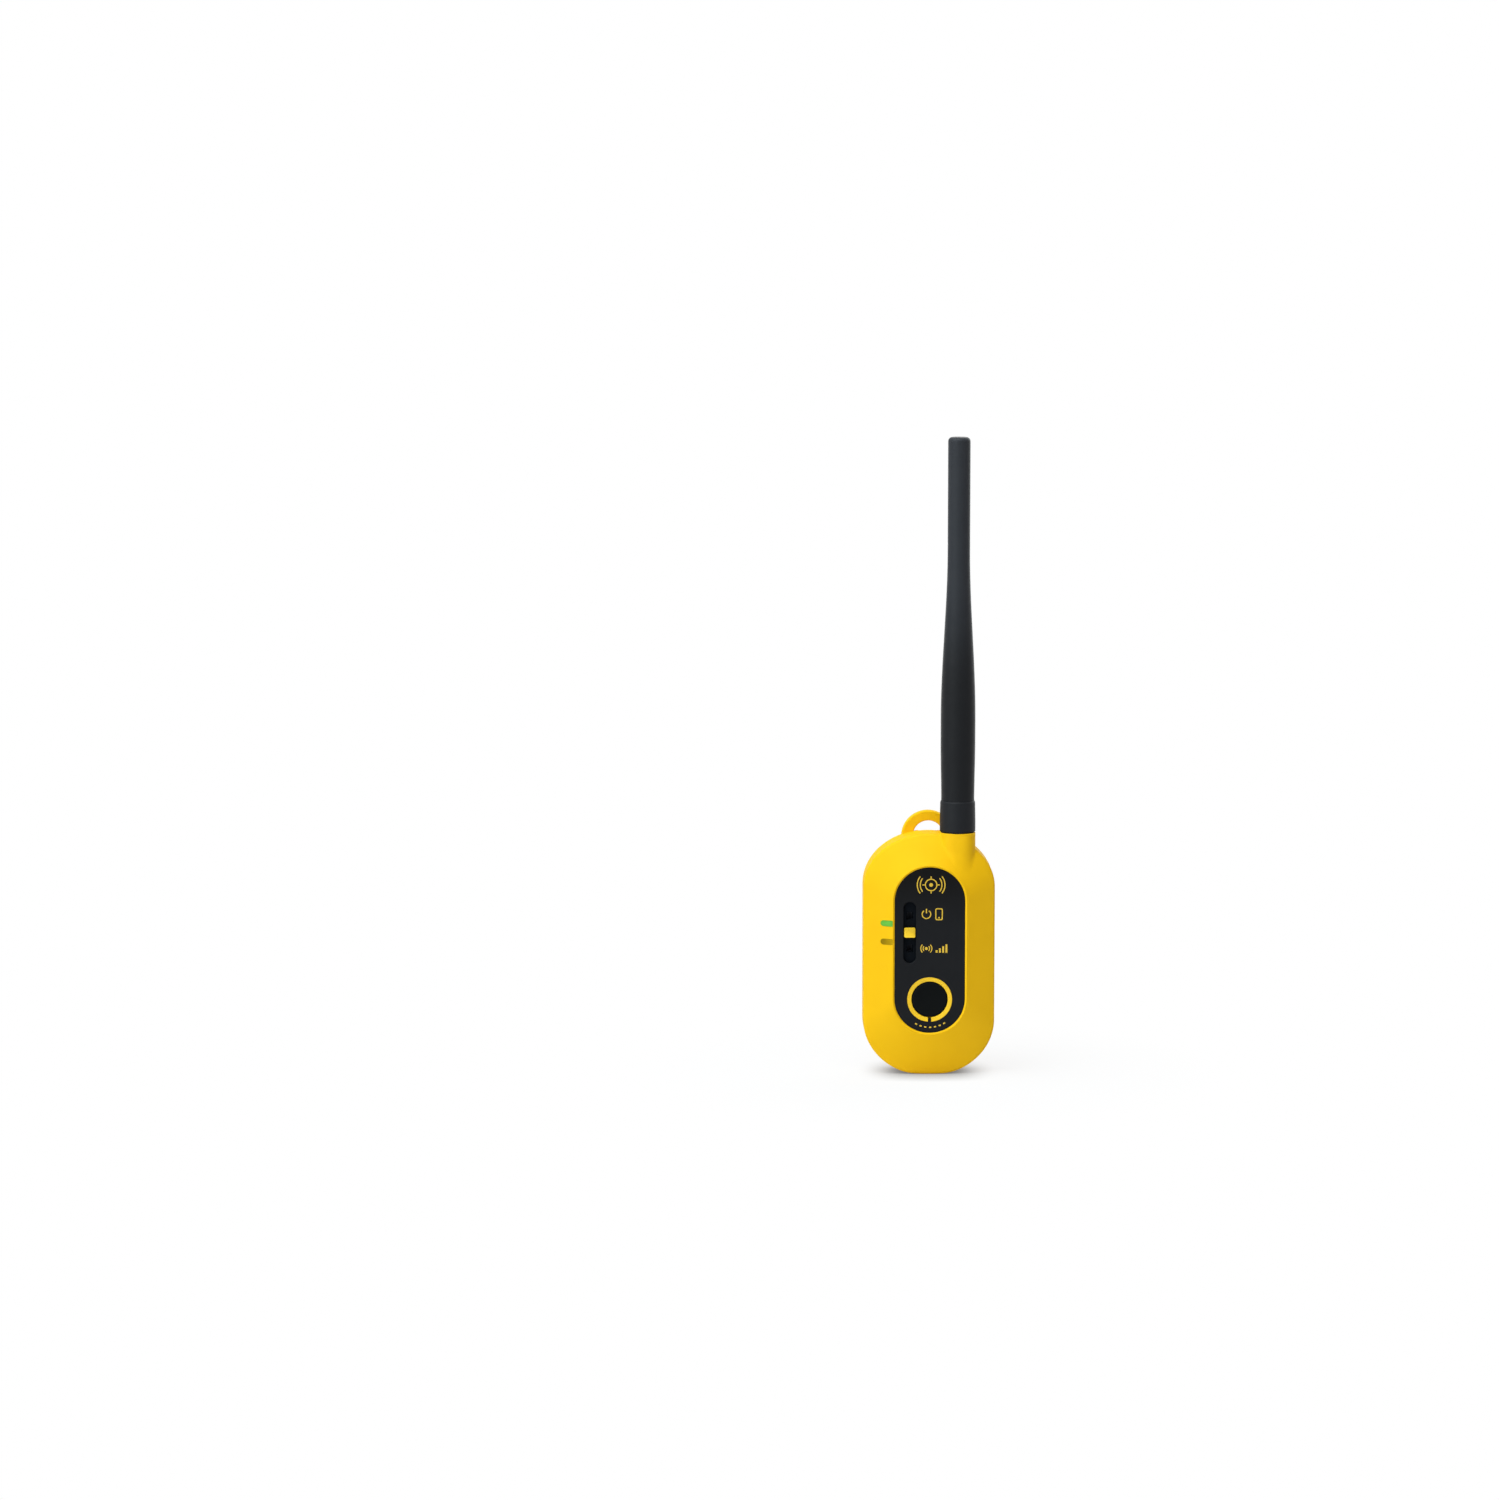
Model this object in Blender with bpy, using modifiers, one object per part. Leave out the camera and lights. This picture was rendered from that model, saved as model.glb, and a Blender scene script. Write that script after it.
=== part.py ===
"""Handheld GPS unit: a pill-shaped case with a control panel, a lanyard loop and a screw-on antenna.

Metres, +Z up. The front faces -Y, the antenna stands on the +X side, and the origin is on the flat foot.
"""

import math

import bmesh
import bpy

MM = 0.001

# Fits
GAP = 0.3 * MM  # between pieces that lie on each other or slide past each other
TIGHT = 0.2 * MM  # round the light windows and the gasket
OVERRUN = 2.0 * MM  # how far a cutter runs past the face it cuts

# Fineness
END_STEPS = 9  # facets in a quarter of each case outline
TURN_STEPS = 24  # facets round a turned piece
SMALL_STEPS = 16  # facets round a small hole or pin
LEAD_STEPS = 9  # pieces along a battery lead

# Case
BODY_WIDTH = 52.4 * MM
BODY_HEIGHT = 97.1 * MM
TOP_END = 21.5 * MM  # height of the curved top end
BOTTOM_END = 23.0 * MM  # height of the curved bottom end
FOOT_WIDTH = 13.5 * MM  # flat on which the unit stands
WALL = 2.2 * MM
RIM_Y = -6.5 * MM  # corner between the side wall and the sloped front
FLANK_RISE = 6.7 * MM  # depth of the sloped front
RIM_ROUND = 1.0 * MM  # length of the rounding on each side of that corner
BACK_Y = 11.5 * MM
BACK_ROUND = 5.0 * MM

# Control panel
PANEL_WIDTH = 28.0 * MM
PANEL_HEIGHT = 66.6 * MM
PANEL_END = 13.6 * MM  # height of each curved end
PANEL_RISE = 2.65 * MM  # middle of the panel above the middle of the case
PANEL_THICKNESS = 1.2 * MM
PANEL_SINK = 0.5 * MM  # how deep its face lies below the lip
LIP_LAND = 0.4 * MM  # flat edge round the recess
FLOOR = 1.8 * MM  # wall behind the panel

# Function button
BUTTON_DROP = 19.9 * MM  # below the middle of the panel
RING_OUTER = 17.9 * MM
RING_INNER = 14.5 * MM
RING_GAP = 1.4 * MM  # opening at the bottom of the ring
RING_STAND = 0.1 * MM  # how far its outer edge stands over the panel
RING_DISH = 0.5 * MM  # how far it slopes down to the button
BUTTON_SINK = 0.2 * MM
BUTTON_DISH = 0.4 * MM
BUTTON_TRAVEL = 0.8 * MM
BUTTON_LEDGE = 1.4 * MM  # flange past the edge of the cap
BUTTON_FLANGE = 1.0 * MM
BUTTON_SEAL_WIDTH = 1.5 * MM
BUTTON_STEM = 3.0 * MM

# Slide control
SLOT_X = -8.0 * MM
SLOT_RISE = 7.1 * MM  # above the middle of the panel
SLOT_WIDTH = 5.0 * MM
SLOT_LENGTH = 24.6 * MM
SLIDE_TRAVEL = 7.0 * MM  # each way
THUMB_HEIGHT = 3.8 * MM
THUMB_STAND = 1.0 * MM  # over the panel
THUMB_WALL = 0.7 * MM
THUMB_CAP = 1.2 * MM
CARRIAGE_LEDGE = 0.3 * MM  # how far it reaches under each side of the slot
CARRIAGE_LENGTH = 10.2 * MM
CARRIAGE_THICKNESS = 1.4 * MM
TRACK_WALL = 1.0 * MM
TRACK_FLANGE = 1.0 * MM
STEM_WIDTH = 1.6 * MM
STEM_LENGTH = 3.6 * MM
LEVER_SIZE = 1.0 * MM
SWITCH_WALL = 2.0 * MM
SWITCH_HEIGHT = 1.8 * MM

# Light windows
LENS_LENGTH = 4.6 * MM
LENS_HEIGHT = 2.4 * MM
LENS_OFFSET = 0.25 * MM  # from the lip of the panel
GREEN_RISE = 10.7 * MM  # above the middle of the panel
AMBER_RISE = 3.3 * MM
LED_SIZE = 2.0 * MM
LED_HEIGHT = 1.0 * MM

# Antenna and its neck
NECK_INSET = 14.9 * MM  # from the side of the case to the antenna's axis
NECK_Y = -3.5 * MM
NECK_DIAMETER = 14.2 * MM
NECK_STAND = 0.4 * MM  # over the top of the case
NECK_LAND = 0.25 * MM  # between the neck and the parting plane
SOCKET_DIAMETER = 6.3 * MM
SOCKET_STAND = 0.5 * MM  # over the neck
PLUG_DIAMETER = 8.8 * MM
PLUG_ROOM = 0.8 * MM  # between the plug and the neck
PLUG_REACH = 6.0 * MM  # how far the plug runs down over the socket
PIN_DIAMETER = 1.3 * MM
PIN_REACH = 5.0 * MM  # how far the pin runs down into the socket
COLLAR_DIAMETER = 14.2 * MM
COLLAR_TOP_DIAMETER = 13.7 * MM
COLLAR_HEIGHT = 12.5 * MM
COLLAR_CHAMFER = 0.7 * MM
ANTENNA_LENGTH = 157.5 * MM  # from the neck to the tip
WHIP_BASE_DIAMETER = 13.2 * MM
WHIP_BELLY_DIAMETER = 13.8 * MM
WHIP_TIP_DIAMETER = 8.9 * MM
BELLY_HEIGHT = 36.0 * MM  # above the neck
TAPER_START = 46.0 * MM
TAPER_END = 112.0 * MM
TIP_ROUND = 1.6 * MM
SPIGOT_DIAMETER = 5.6 * MM
SPIGOT_LENGTH = 7.0 * MM
RADIATOR_DIAMETER = 2.4 * MM
TIP_SOLID = 8.0 * MM  # whip over the end of the radiator
SEAL_DIAMETER = 0.85 * MM

# Lanyard loop
LOOP_OUTER = 21.4 * MM
LOOP_INNER = 12.0 * MM
LOOP_RAISE = 0.8 * MM  # middle of the hole above the middle of the loop
LOOP_DROP = 3.1 * MM  # middle of the loop below the top of the case
LOOP_DEPTH = 4.5 * MM
LOOP_SETBACK = 0.3 * MM  # behind the wall that closes over the gasket
SCOOP_DEPTH = 1.4 * MM
SCOOP_RADIUS = 9.0 * MM
SCOOP_LAND = 1.0 * MM  # wall left in front of the scoop, over the gasket

# Boards, screws and cells
BOARD_THICKNESS = 1.6 * MM
BOARD_MARGIN = 2.8 * MM  # inside the side walls
BOARD_TOP_MARGIN = 14.0 * MM  # below the top of the case
BOARD_FOOT_MARGIN = 13.0 * MM
BOARD_CORNER = 6.0 * MM
BOSS_DIAMETER = 6.0 * MM
BOSS_INSET = 5.2 * MM  # inside the side walls
BOSS_LOW_Z = 26.0 * MM
BOSS_TOP_MARGIN = 24.1 * MM  # from the top of the case to the upper screws
SCREW_DIAMETER = 2.0 * MM
HEAD_DIAMETER = 3.8 * MM
HEAD_HEIGHT = 1.6 * MM
CROSS_WIDTH = 0.7 * MM
CROSS_DEPTH = 0.8 * MM
COUNTERBORE_DEPTH = 3.2 * MM
PILOT_DEPTH = 3.2 * MM
BATTERY_THICKNESS = 7.0 * MM
BATTERY_LOW = 17.0 * MM
BATTERY_TOP_MARGIN = 36.1 * MM  # below the top of the case
BATTERY_EDGE = 1.0 * MM
BATTERY_ROOM = 0.6 * MM  # beside the screw bosses
PAD_THICKNESS = 1.0 * MM
PAD_MARGIN = 1.0 * MM
SHIELD_SIZE = 20.0 * MM
SHIELD_HEIGHT = 2.4 * MM
SHIELD_WALL = 0.5 * MM
PATCH_SIZE = 17.0 * MM
PATCH_HEIGHT = 4.0 * MM
PATCH_ROOM = 0.6 * MM  # below the antenna socket
RADIO_WIDTH = 11.0 * MM
RADIO_HEIGHT = 16.0 * MM
RADIO_DEPTH = 2.2 * MM
RADIO_X = 8.5 * MM
RADIO_DROP = 14.1 * MM  # below the top of the board
CONNECTOR_SIZE = 5.0 * MM
CONNECTOR_DEPTH = 3.0 * MM
CONNECTOR_ROOM = 3.2 * MM  # beside the patch
LEAD_RUN = 5.5 * MM  # from the battery up to the connector
LEAD_DIAMETER = 1.0 * MM
LEAD_SPACING = 2.0 * MM
TACT_SIZE = 6.0 * MM
TACT_HEIGHT = 2.4 * MM
PLUNGER_DIAMETER = 3.4 * MM
PLUNGER_STAND = 0.4 * MM

# Gasket
GASKET_WIDTH = 0.8 * MM
GASKET_DEPTH = 1.2 * MM

# Charging socket and its cover
PORT_Z = 41.0 * MM
PORT_WIDTH = 9.0 * MM
PORT_HEIGHT = 3.2 * MM
PORT_LENGTH = 7.0 * MM
PORT_WALL = 0.4 * MM
TONGUE_THICKNESS = 0.7 * MM
COVER_WIDTH = 6.0 * MM
COVER_THICKNESS = 1.0 * MM
COVER_BELOW = 10.2 * MM  # from the middle of the socket down to the hinge
COVER_ABOVE = 7.8 * MM
COVER_KNUCKLE = 0.5 * MM
COVER_PLUG_WIDTH = 9.8 * MM
COVER_PLUG_HEIGHT = 4.0 * MM
COVER_PLUG_DEPTH = 1.2 * MM
COVER_SINK = 0.1 * MM  # below the side of the case
NAIL_NOTCH = 1.2 * MM  # hollow over the free end, to lift it by

# Worked out from the sizes above
HALF_WIDTH = BODY_WIDTH / 2
PANEL_Z = BODY_HEIGHT / 2 + PANEL_RISE
NECK_X = HALF_WIDTH - NECK_INSET
INNER_HALF = HALF_WIDTH - WALL
LIP_HALF = PANEL_WIDTH / 2 + GAP + LIP_LAND
FLANK_RUN = HALF_WIDTH - LIP_HALF
FLANK_SLANT = math.hypot(FLANK_RUN, FLANK_RISE)
WALL_ALONG_Y = WALL * FLANK_SLANT / FLANK_RUN
LIP_Y = RIM_Y - FLANK_RISE
PANEL_FRONT = LIP_Y + PANEL_SINK
PANEL_BACK = PANEL_FRONT + PANEL_THICKNESS
SEAT_Y = PANEL_BACK + GAP
FLOOR_BACK = SEAT_Y + FLOOR
NECK_RADIUS = NECK_DIAMETER / 2
NECK_TOP = BODY_HEIGHT + NECK_STAND
NECK_BORE = PLUG_DIAMETER / 2 + PLUG_ROOM
PARTING_Y = NECK_Y + NECK_RADIUS + NECK_LAND
REAR_FRONT = PARTING_Y + GAP
BACK_INNER = BACK_Y - WALL
BOARD_FRONT = NECK_Y - BOARD_THICKNESS / 2
BOARD_BACK = NECK_Y + BOARD_THICKNESS / 2
ON_FRONT = BOARD_FRONT - GAP
ON_BACK = BOARD_BACK + GAP
BOARD_HALF = INNER_HALF - BOARD_MARGIN
BOARD_TOP = BODY_HEIGHT - BOARD_TOP_MARGIN
SOCKET_LEG = BOARD_THICKNESS
SOCKET_LOW = BOARD_TOP - 2 * SOCKET_LEG
BATTERY_HIGH = BODY_HEIGHT - BATTERY_TOP_MARGIN
BATTERY_Z = (BATTERY_LOW + BATTERY_HIGH) / 2
BOSS_X = INNER_HALF - BOSS_INSET
BOSS_HIGH_Z = BODY_HEIGHT - BOSS_TOP_MARGIN
BUTTON_Z = PANEL_Z - BUTTON_DROP
SLOT_Z = PANEL_Z + SLOT_RISE
PORT_Y = ON_BACK + PORT_HEIGHT / 2


# Scene and helpers
for stale in list(bpy.data.objects):
    bpy.data.objects.remove(stale)

unit = bpy.data.collections.new("handheld_gps_unit")
cutters = bpy.data.collections.new("cutters")
bpy.context.scene.collection.children.link(unit)
bpy.context.scene.collection.children.link(cutters)


def make_material(name, colour, roughness, metallic=0.0):
    material = bpy.data.materials.new(name)
    material.use_nodes = True
    shader = material.node_tree.nodes["Principled BSDF"]
    shader.inputs["Base Color"].default_value = (*colour, 1.0)
    shader.inputs["Roughness"].default_value = roughness
    shader.inputs["Metallic"].default_value = metallic
    return material


def add(name, mesh, place=(0.0, 0.0, 0.0), turn=(0.0, 0.0, 0.0), material=None):
    """A part when it has a material, and a hidden cutter when it has none."""
    made = bpy.data.objects.new(name, mesh)
    made.location = place
    made.rotation_euler = turn
    if material is None:
        cutters.objects.link(made)
        made.hide_render = True
        made.display_type = "WIRE"
    else:
        unit.objects.link(made)
        mesh.materials.append(material)
    return made


def finish_mesh(name, shape):
    mesh = bpy.data.meshes.new(name)
    bmesh.ops.recalc_face_normals(shape, faces=shape.faces)
    shape.to_mesh(mesh)
    shape.free()
    return mesh


def box(name, low, high, material=None, rounded=0.0):
    """A block between two corners, with its upright or lying edges rounded on request."""
    shape = bmesh.new()
    bmesh.ops.create_cube(shape, size=1.0)
    size = [b - a for a, b in zip(low, high)]
    middle = [(a + b) / 2 for a, b in zip(low, high)]
    bmesh.ops.scale(shape, vec=size, verts=shape.verts)
    made = add(name, finish_mesh(name, shape), middle, material=material)
    if rounded:
        bevel = made.modifiers.new("Rounded edges", "BEVEL")
        bevel.width = rounded
        bevel.segments = 2
    return made


def rod(name, radius, start, end, turn, place, material=None, steps=SMALL_STEPS):
    """A cylinder whose own Z runs from start to end."""
    shape = bmesh.new()
    bmesh.ops.create_cone(
        shape, cap_ends=True, segments=steps, radius1=radius, radius2=radius, depth=end - start
    )
    bmesh.ops.translate(shape, vec=(0.0, 0.0, (start + end) / 2), verts=shape.verts)
    mesh = finish_mesh(name, shape)
    mesh.shade_smooth()
    mesh.set_sharp_from_angle(angle=math.radians(40))
    return add(name, mesh, place, turn, material)


UPRIGHT = (0.0, 0.0, 0.0)
TO_BACK = (-math.pi / 2, 0.0, 0.0)  # own Z runs to +Y
TO_FRONT = (math.pi / 2, 0.0, 0.0)  # own Z runs to -Y


def turned(name, profile, place, turn=UPRIGHT, material=None, ring=False, steps=TURN_STEPS):
    """A profile of (radius, height) spun once round its own Z; a ring's profile closes on itself."""
    count = len(profile)
    edges = [(i, (i + 1) % count) for i in range(count if ring else count - 1)]
    mesh = bpy.data.meshes.new(name)
    mesh.from_pydata([(radius, 0.0, height) for radius, height in profile], edges, [])
    made = add(name, mesh, place, turn, material)
    screw = made.modifiers.new("Turn", "SCREW")
    screw.angle = 2 * math.pi
    screw.steps = steps
    screw.render_steps = steps
    screw.use_merge_vertices = True
    screw.merge_threshold = 1e-5
    screw.use_smooth_shade = True
    return made


def pill(half_width, top, bottom, top_end, bottom_end, foot_half=0.0):
    """Closed outline as (x, z): straight sides, elliptic ends and a flat foot."""
    step = math.pi / 2 / END_STEPS
    start = math.acos(max(foot_half / half_width, math.sin(step / 2)))
    low = bottom + bottom_end * math.sin(start)
    high = top - top_end
    right = []
    for i in range(END_STEPS + 1):
        angle = start * (1 - i / END_STEPS)
        right.append((half_width * math.cos(angle), low - bottom_end * math.sin(angle)))
    for i in range(END_STEPS):
        angle = i * step
        right.append((half_width * math.cos(angle), high + top_end * math.sin(angle)))
    left = [(-x, z) for x, z in reversed(right)]
    return right + [(0.0, top)] + left


def loft(name, rings, place=(0.0, 0.0, 0.0), material=None, ring=False):
    """A solid through outlines that each lie at one depth: (outline, y); a ring closes on itself."""
    shape = bmesh.new()
    loops = []
    for outline, y in rings:
        loops.append([shape.verts.new((x, y, z)) for x, z in outline])
    pairs = list(zip(loops, loops[1:]))
    if ring:
        pairs.append((loops[-1], loops[0]))
    else:
        shape.faces.new(loops[0])
        shape.faces.new(loops[-1])
    for near, far in pairs:
        for i in range(len(near)):
            after = (i + 1) % len(near)
            shape.faces.new((near[i], near[after], far[after], far[i]))
    mesh = finish_mesh(name, shape)
    mesh.shade_smooth()
    mesh.set_sharp_from_angle(angle=math.radians(30))
    return add(name, mesh, place, material=material)


def combine(target, operation, *others):
    for other in others:
        modifier = target.modifiers.new(operation.title() + " " + other.name, "BOOLEAN")
        modifier.operation = operation
        modifier.solver = "EXACT"
        modifier.object = other


def cut(target, *others):
    combine(target, "DIFFERENCE", *others)


def join(target, *others):
    combine(target, "UNION", *others)


def axis(name, place, *carried):
    """An empty on a joint's axis that carries the pieces of that body."""
    made = bpy.data.objects.new(name, None)
    made.location = place
    unit.objects.link(made)
    bpy.context.view_layer.update()
    for piece in carried:
        piece.parent = made
        piece.matrix_parent_inverse = made.matrix_world.inverted()
    return made


# Colours
YELLOW = (0.85, 0.50, 0.012)
shell_yellow = make_material("shell_yellow", YELLOW, 0.42)
back_yellow = make_material("back_yellow", YELLOW, 0.42)
trim_yellow = make_material("trim_yellow", (0.80, 0.48, 0.02), 0.40)
thumb_yellow = make_material("thumb_yellow", (0.80, 0.50, 0.02), 0.45)
panel_black = make_material("panel_black", (0.012, 0.013, 0.015), 0.45)
track_black = make_material("track_black", (0.006, 0.007, 0.008), 0.55)
button_black = make_material("button_black", (0.008, 0.009, 0.009), 0.50)
carriage_black = make_material("carriage_black", (0.010, 0.010, 0.011), 0.50)
rubber_black = make_material("rubber_black", (0.022, 0.024, 0.027), 0.60)
collar_black = make_material("collar_black", (0.018, 0.019, 0.021), 0.45)
cover_rubber = make_material("cover_rubber", (0.020, 0.021, 0.022), 0.70)
seal_rubber = make_material("seal_rubber", (0.030, 0.030, 0.032), 0.75)
green_lens = make_material("green_lens", (0.10, 0.50, 0.05), 0.25)
amber_lens = make_material("amber_lens", (0.40, 0.26, 0.005), 0.25)
led_white = make_material("led_white", (0.75, 0.75, 0.70), 0.40)
board_green = make_material("board_green", (0.010, 0.090, 0.030), 0.45)
shield_metal = make_material("shield_metal", (0.60, 0.60, 0.62), 0.30, 1.0)
radio_metal = make_material("radio_metal", (0.55, 0.55, 0.57), 0.35, 1.0)
patch_ceramic = make_material("patch_ceramic", (0.72, 0.68, 0.58), 0.55)
battery_foil = make_material("battery_foil", (0.52, 0.53, 0.55), 0.38, 0.6)
pad_foam = make_material("pad_foam", (0.05, 0.05, 0.05), 0.90)
lead_red = make_material("lead_red", (0.50, 0.02, 0.02), 0.50)
lead_black = make_material("lead_black", (0.02, 0.02, 0.02), 0.50)
connector_white = make_material("connector_white", (0.78, 0.76, 0.70), 0.50)
switch_black = make_material("switch_black", (0.02, 0.02, 0.02), 0.50)
lever_metal = make_material("lever_metal", (0.58, 0.58, 0.60), 0.35, 1.0)
brass = make_material("brass", (0.72, 0.52, 0.18), 0.30, 1.0)
plug_nickel = make_material("plug_nickel", (0.62, 0.60, 0.56), 0.30, 1.0)
port_steel = make_material("port_steel", (0.60, 0.60, 0.61), 0.30, 1.0)
screw_steel = make_material("screw_steel", (0.40, 0.40, 0.41), 0.35, 1.0)


# Outlines of the case
def case_outline(inset):
    return pill(
        HALF_WIDTH - inset,
        BODY_HEIGHT - inset,
        inset,
        TOP_END - inset,
        BOTTOM_END - inset,
        FOOT_WIDTH / 2,
    )


def panel_outline(grow):
    return pill(
        PANEL_WIDTH / 2 + grow,
        PANEL_Z + PANEL_HEIGHT / 2 + grow,
        PANEL_Z - PANEL_HEIGHT / 2 - grow,
        PANEL_END + grow,
        PANEL_END + grow,
    )


def flank_outline(share):
    """Outline part of the way from the rim (0) to the lip of the panel (1)."""
    rim = case_outline(0.0)
    lip = panel_outline(GAP + LIP_LAND)
    return [
        (a + (c - a) * share, b + (d - b) * share) for (a, b), (c, d) in zip(rim, lip)
    ]


def flank_y(share):
    return RIM_Y - FLANK_RISE * share


def front_form_rings():
    """Outside of the front half, from the parting plane over the rounded rim to the lip."""
    rings = [(flank_outline(0.0), PARTING_Y)]
    slant_share = RIM_ROUND / FLANK_SLANT
    for i in range(5):
        t = i / 4
        wall_part = (1 - t) ** 2
        slope_part = t**2
        y = RIM_Y + RIM_ROUND * wall_part - FLANK_RISE * slant_share * slope_part
        rings.append((flank_outline(slant_share * slope_part), y))
    rings.append((flank_outline(1.0), LIP_Y))
    return rings


def front_inner_rings(depth, end_y, start_y):
    """The same form moved inward by depth, from start_y to a flat at end_y."""
    along = depth * FLANK_SLANT / FLANK_RUN
    near = depth / FLANK_RUN
    far = min((flank_y(0.0) + along - end_y) / FLANK_RISE, 0.97)
    return [
        (flank_outline(near), start_y),
        (flank_outline(near), flank_y(near) + along),
        (flank_outline(far), end_y),
    ]


def back_rings(inset, start_y, end_y, rounded):
    rings = [(case_outline(inset), start_y)]
    for i in range(5):
        angle = math.pi / 2 * i / 4
        rings.append(
            (
                case_outline(inset + rounded * (1 - math.cos(angle))),
                end_y - rounded * (1 - math.sin(angle)),
            )
        )
    return rings


# Front shell
front_shell = loft("front_shell", front_form_rings(), material=shell_yellow)
front_form = loft("front_form", front_form_rings())
front_core = loft("front_core", front_inner_rings(WALL / 2, LIP_Y + WALL_ALONG_Y / 2, PARTING_Y))
front_cavity = loft(
    "front_cavity", front_inner_rings(WALL, FLOOR_BACK, PARTING_Y + OVERRUN)
)
neck_place = (NECK_X, NECK_Y, 0.0)
neck_root = BOARD_TOP - WALL
neck = rod("neck", NECK_RADIUS, neck_root, NECK_TOP, UPRIGHT, neck_place, steps=36)
neck_bore = rod("neck_bore", NECK_BORE, BOARD_TOP, NECK_TOP + OVERRUN, UPRIGHT, neck_place)
join(front_shell, neck)
cut(front_shell, front_cavity)

boss_places = [
    (side * BOSS_X, z) for z in (BOSS_LOW_Z, BOSS_HIGH_Z) for side in (-1.0, 1.0)
]
pilot_holes = []
for number, (x, z) in enumerate(boss_places, start=1):
    boss = rod(
        f"front_boss_{number}", BOSS_DIAMETER / 2, LIP_Y, ON_FRONT, TO_BACK, (x, 0.0, z)
    )
    combine(boss, "INTERSECT", front_core)
    join(front_shell, boss)
    pilot_holes.append(
        rod(
            f"pilot_hole_{number}",
            SCREW_DIAMETER / 2 + GAP,
            ON_FRONT - PILOT_DEPTH,
            ON_FRONT + OVERRUN,
            TO_BACK,
            (x, 0.0, z),
        )
    )
cut(front_shell, *pilot_holes)

panel_recess = loft(
    "panel_recess",
    [(panel_outline(GAP), LIP_Y - OVERRUN), (panel_outline(GAP), SEAT_Y)],
)
seal_middle = (NECK_BORE + NECK_RADIUS) / 2
groove_half = SEAL_DIAMETER / 2 + TIGHT
seal_groove = turned(
    "seal_groove",
    [
        (seal_middle + groove_half, NECK_TOP + OVERRUN),
        (seal_middle + groove_half, NECK_TOP - SEAL_DIAMETER),
        (seal_middle - groove_half, NECK_TOP - SEAL_DIAMETER),
        (seal_middle - groove_half, NECK_TOP + OVERRUN),
    ],
    neck_place,
    ring=True,
)
gasket_inset = (WALL - GASKET_WIDTH) / 2
gasket_groove = loft(
    "gasket_groove",
    [
        (case_outline(gasket_inset - TIGHT), PARTING_Y + OVERRUN),
        (case_outline(gasket_inset - TIGHT), PARTING_Y - GASKET_DEPTH),
        (case_outline(gasket_inset + GASKET_WIDTH + TIGHT), PARTING_Y - GASKET_DEPTH),
        (case_outline(gasket_inset + GASKET_WIDTH + TIGHT), PARTING_Y + OVERRUN),
    ],
    ring=True,
)
cut(front_shell, neck_bore, panel_recess, seal_groove, gasket_groove)

case_gasket = loft(
    "case_gasket",
    [
        (case_outline(gasket_inset), PARTING_Y + GAP - TIGHT),
        (case_outline(gasket_inset), PARTING_Y - GASKET_DEPTH + TIGHT),
        (case_outline(gasket_inset + GASKET_WIDTH), PARTING_Y - GASKET_DEPTH + TIGHT),
        (case_outline(gasket_inset + GASKET_WIDTH), PARTING_Y + GAP - TIGHT),
    ],
    material=seal_rubber,
    ring=True,
)

# Rear shell with the lanyard loop
rear_shell = loft(
    "rear_shell", back_rings(0.0, REAR_FRONT, BACK_Y, BACK_ROUND), material=back_yellow
)
rear_cavity = loft(
    "rear_cavity",
    back_rings(WALL, REAR_FRONT - OVERRUN, BACK_INNER, BACK_ROUND - WALL),
)
loop_front = REAR_FRONT + SCOOP_LAND + LOOP_SETBACK
loop_back = loop_front + LOOP_DEPTH
loop_z = BODY_HEIGHT - LOOP_DROP
scoop = rod(
    "scoop",
    SCOOP_RADIUS,
    REAR_FRONT + SCOOP_LAND,
    BACK_Y + OVERRUN,
    TO_BACK,
    (0.0, 0.0, BODY_HEIGHT - SCOOP_DEPTH + SCOOP_RADIUS),
    steps=48,
)
loop = rod(
    "loop", LOOP_OUTER / 2, loop_front, loop_back, TO_BACK, (0.0, 0.0, loop_z), steps=48
)
loop_hole = rod(
    "loop_hole",
    LOOP_INNER / 2,
    loop_front - OVERRUN,
    loop_back + OVERRUN,
    TO_BACK,
    (0.0, 0.0, loop_z + LOOP_RAISE),
    steps=40,
)
cut(loop, loop_hole)
cut(rear_shell, scoop)
join(rear_shell, loop)
cut(rear_shell, rear_cavity)
for number, (x, z) in enumerate(boss_places, start=1):
    boss = rod(
        f"rear_boss_{number}",
        BOSS_DIAMETER / 2,
        ON_BACK,
        BACK_Y - WALL / 2,
        TO_BACK,
        (x, 0.0, z),
    )
    join(rear_shell, boss)
for number, (x, z) in enumerate(boss_places, start=1):
    clearance_hole = rod(
        f"clearance_hole_{number}",
        SCREW_DIAMETER / 2 + GAP,
        ON_BACK - OVERRUN,
        BACK_Y + OVERRUN,
        TO_BACK,
        (x, 0.0, z),
    )
    counterbore = rod(
        f"counterbore_{number}",
        HEAD_DIAMETER / 2 + GAP,
        BACK_Y - COUNTERBORE_DEPTH,
        BACK_Y + OVERRUN,
        TO_BACK,
        (x, 0.0, z),
    )
    cut(rear_shell, clearance_hole, counterbore)

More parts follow.
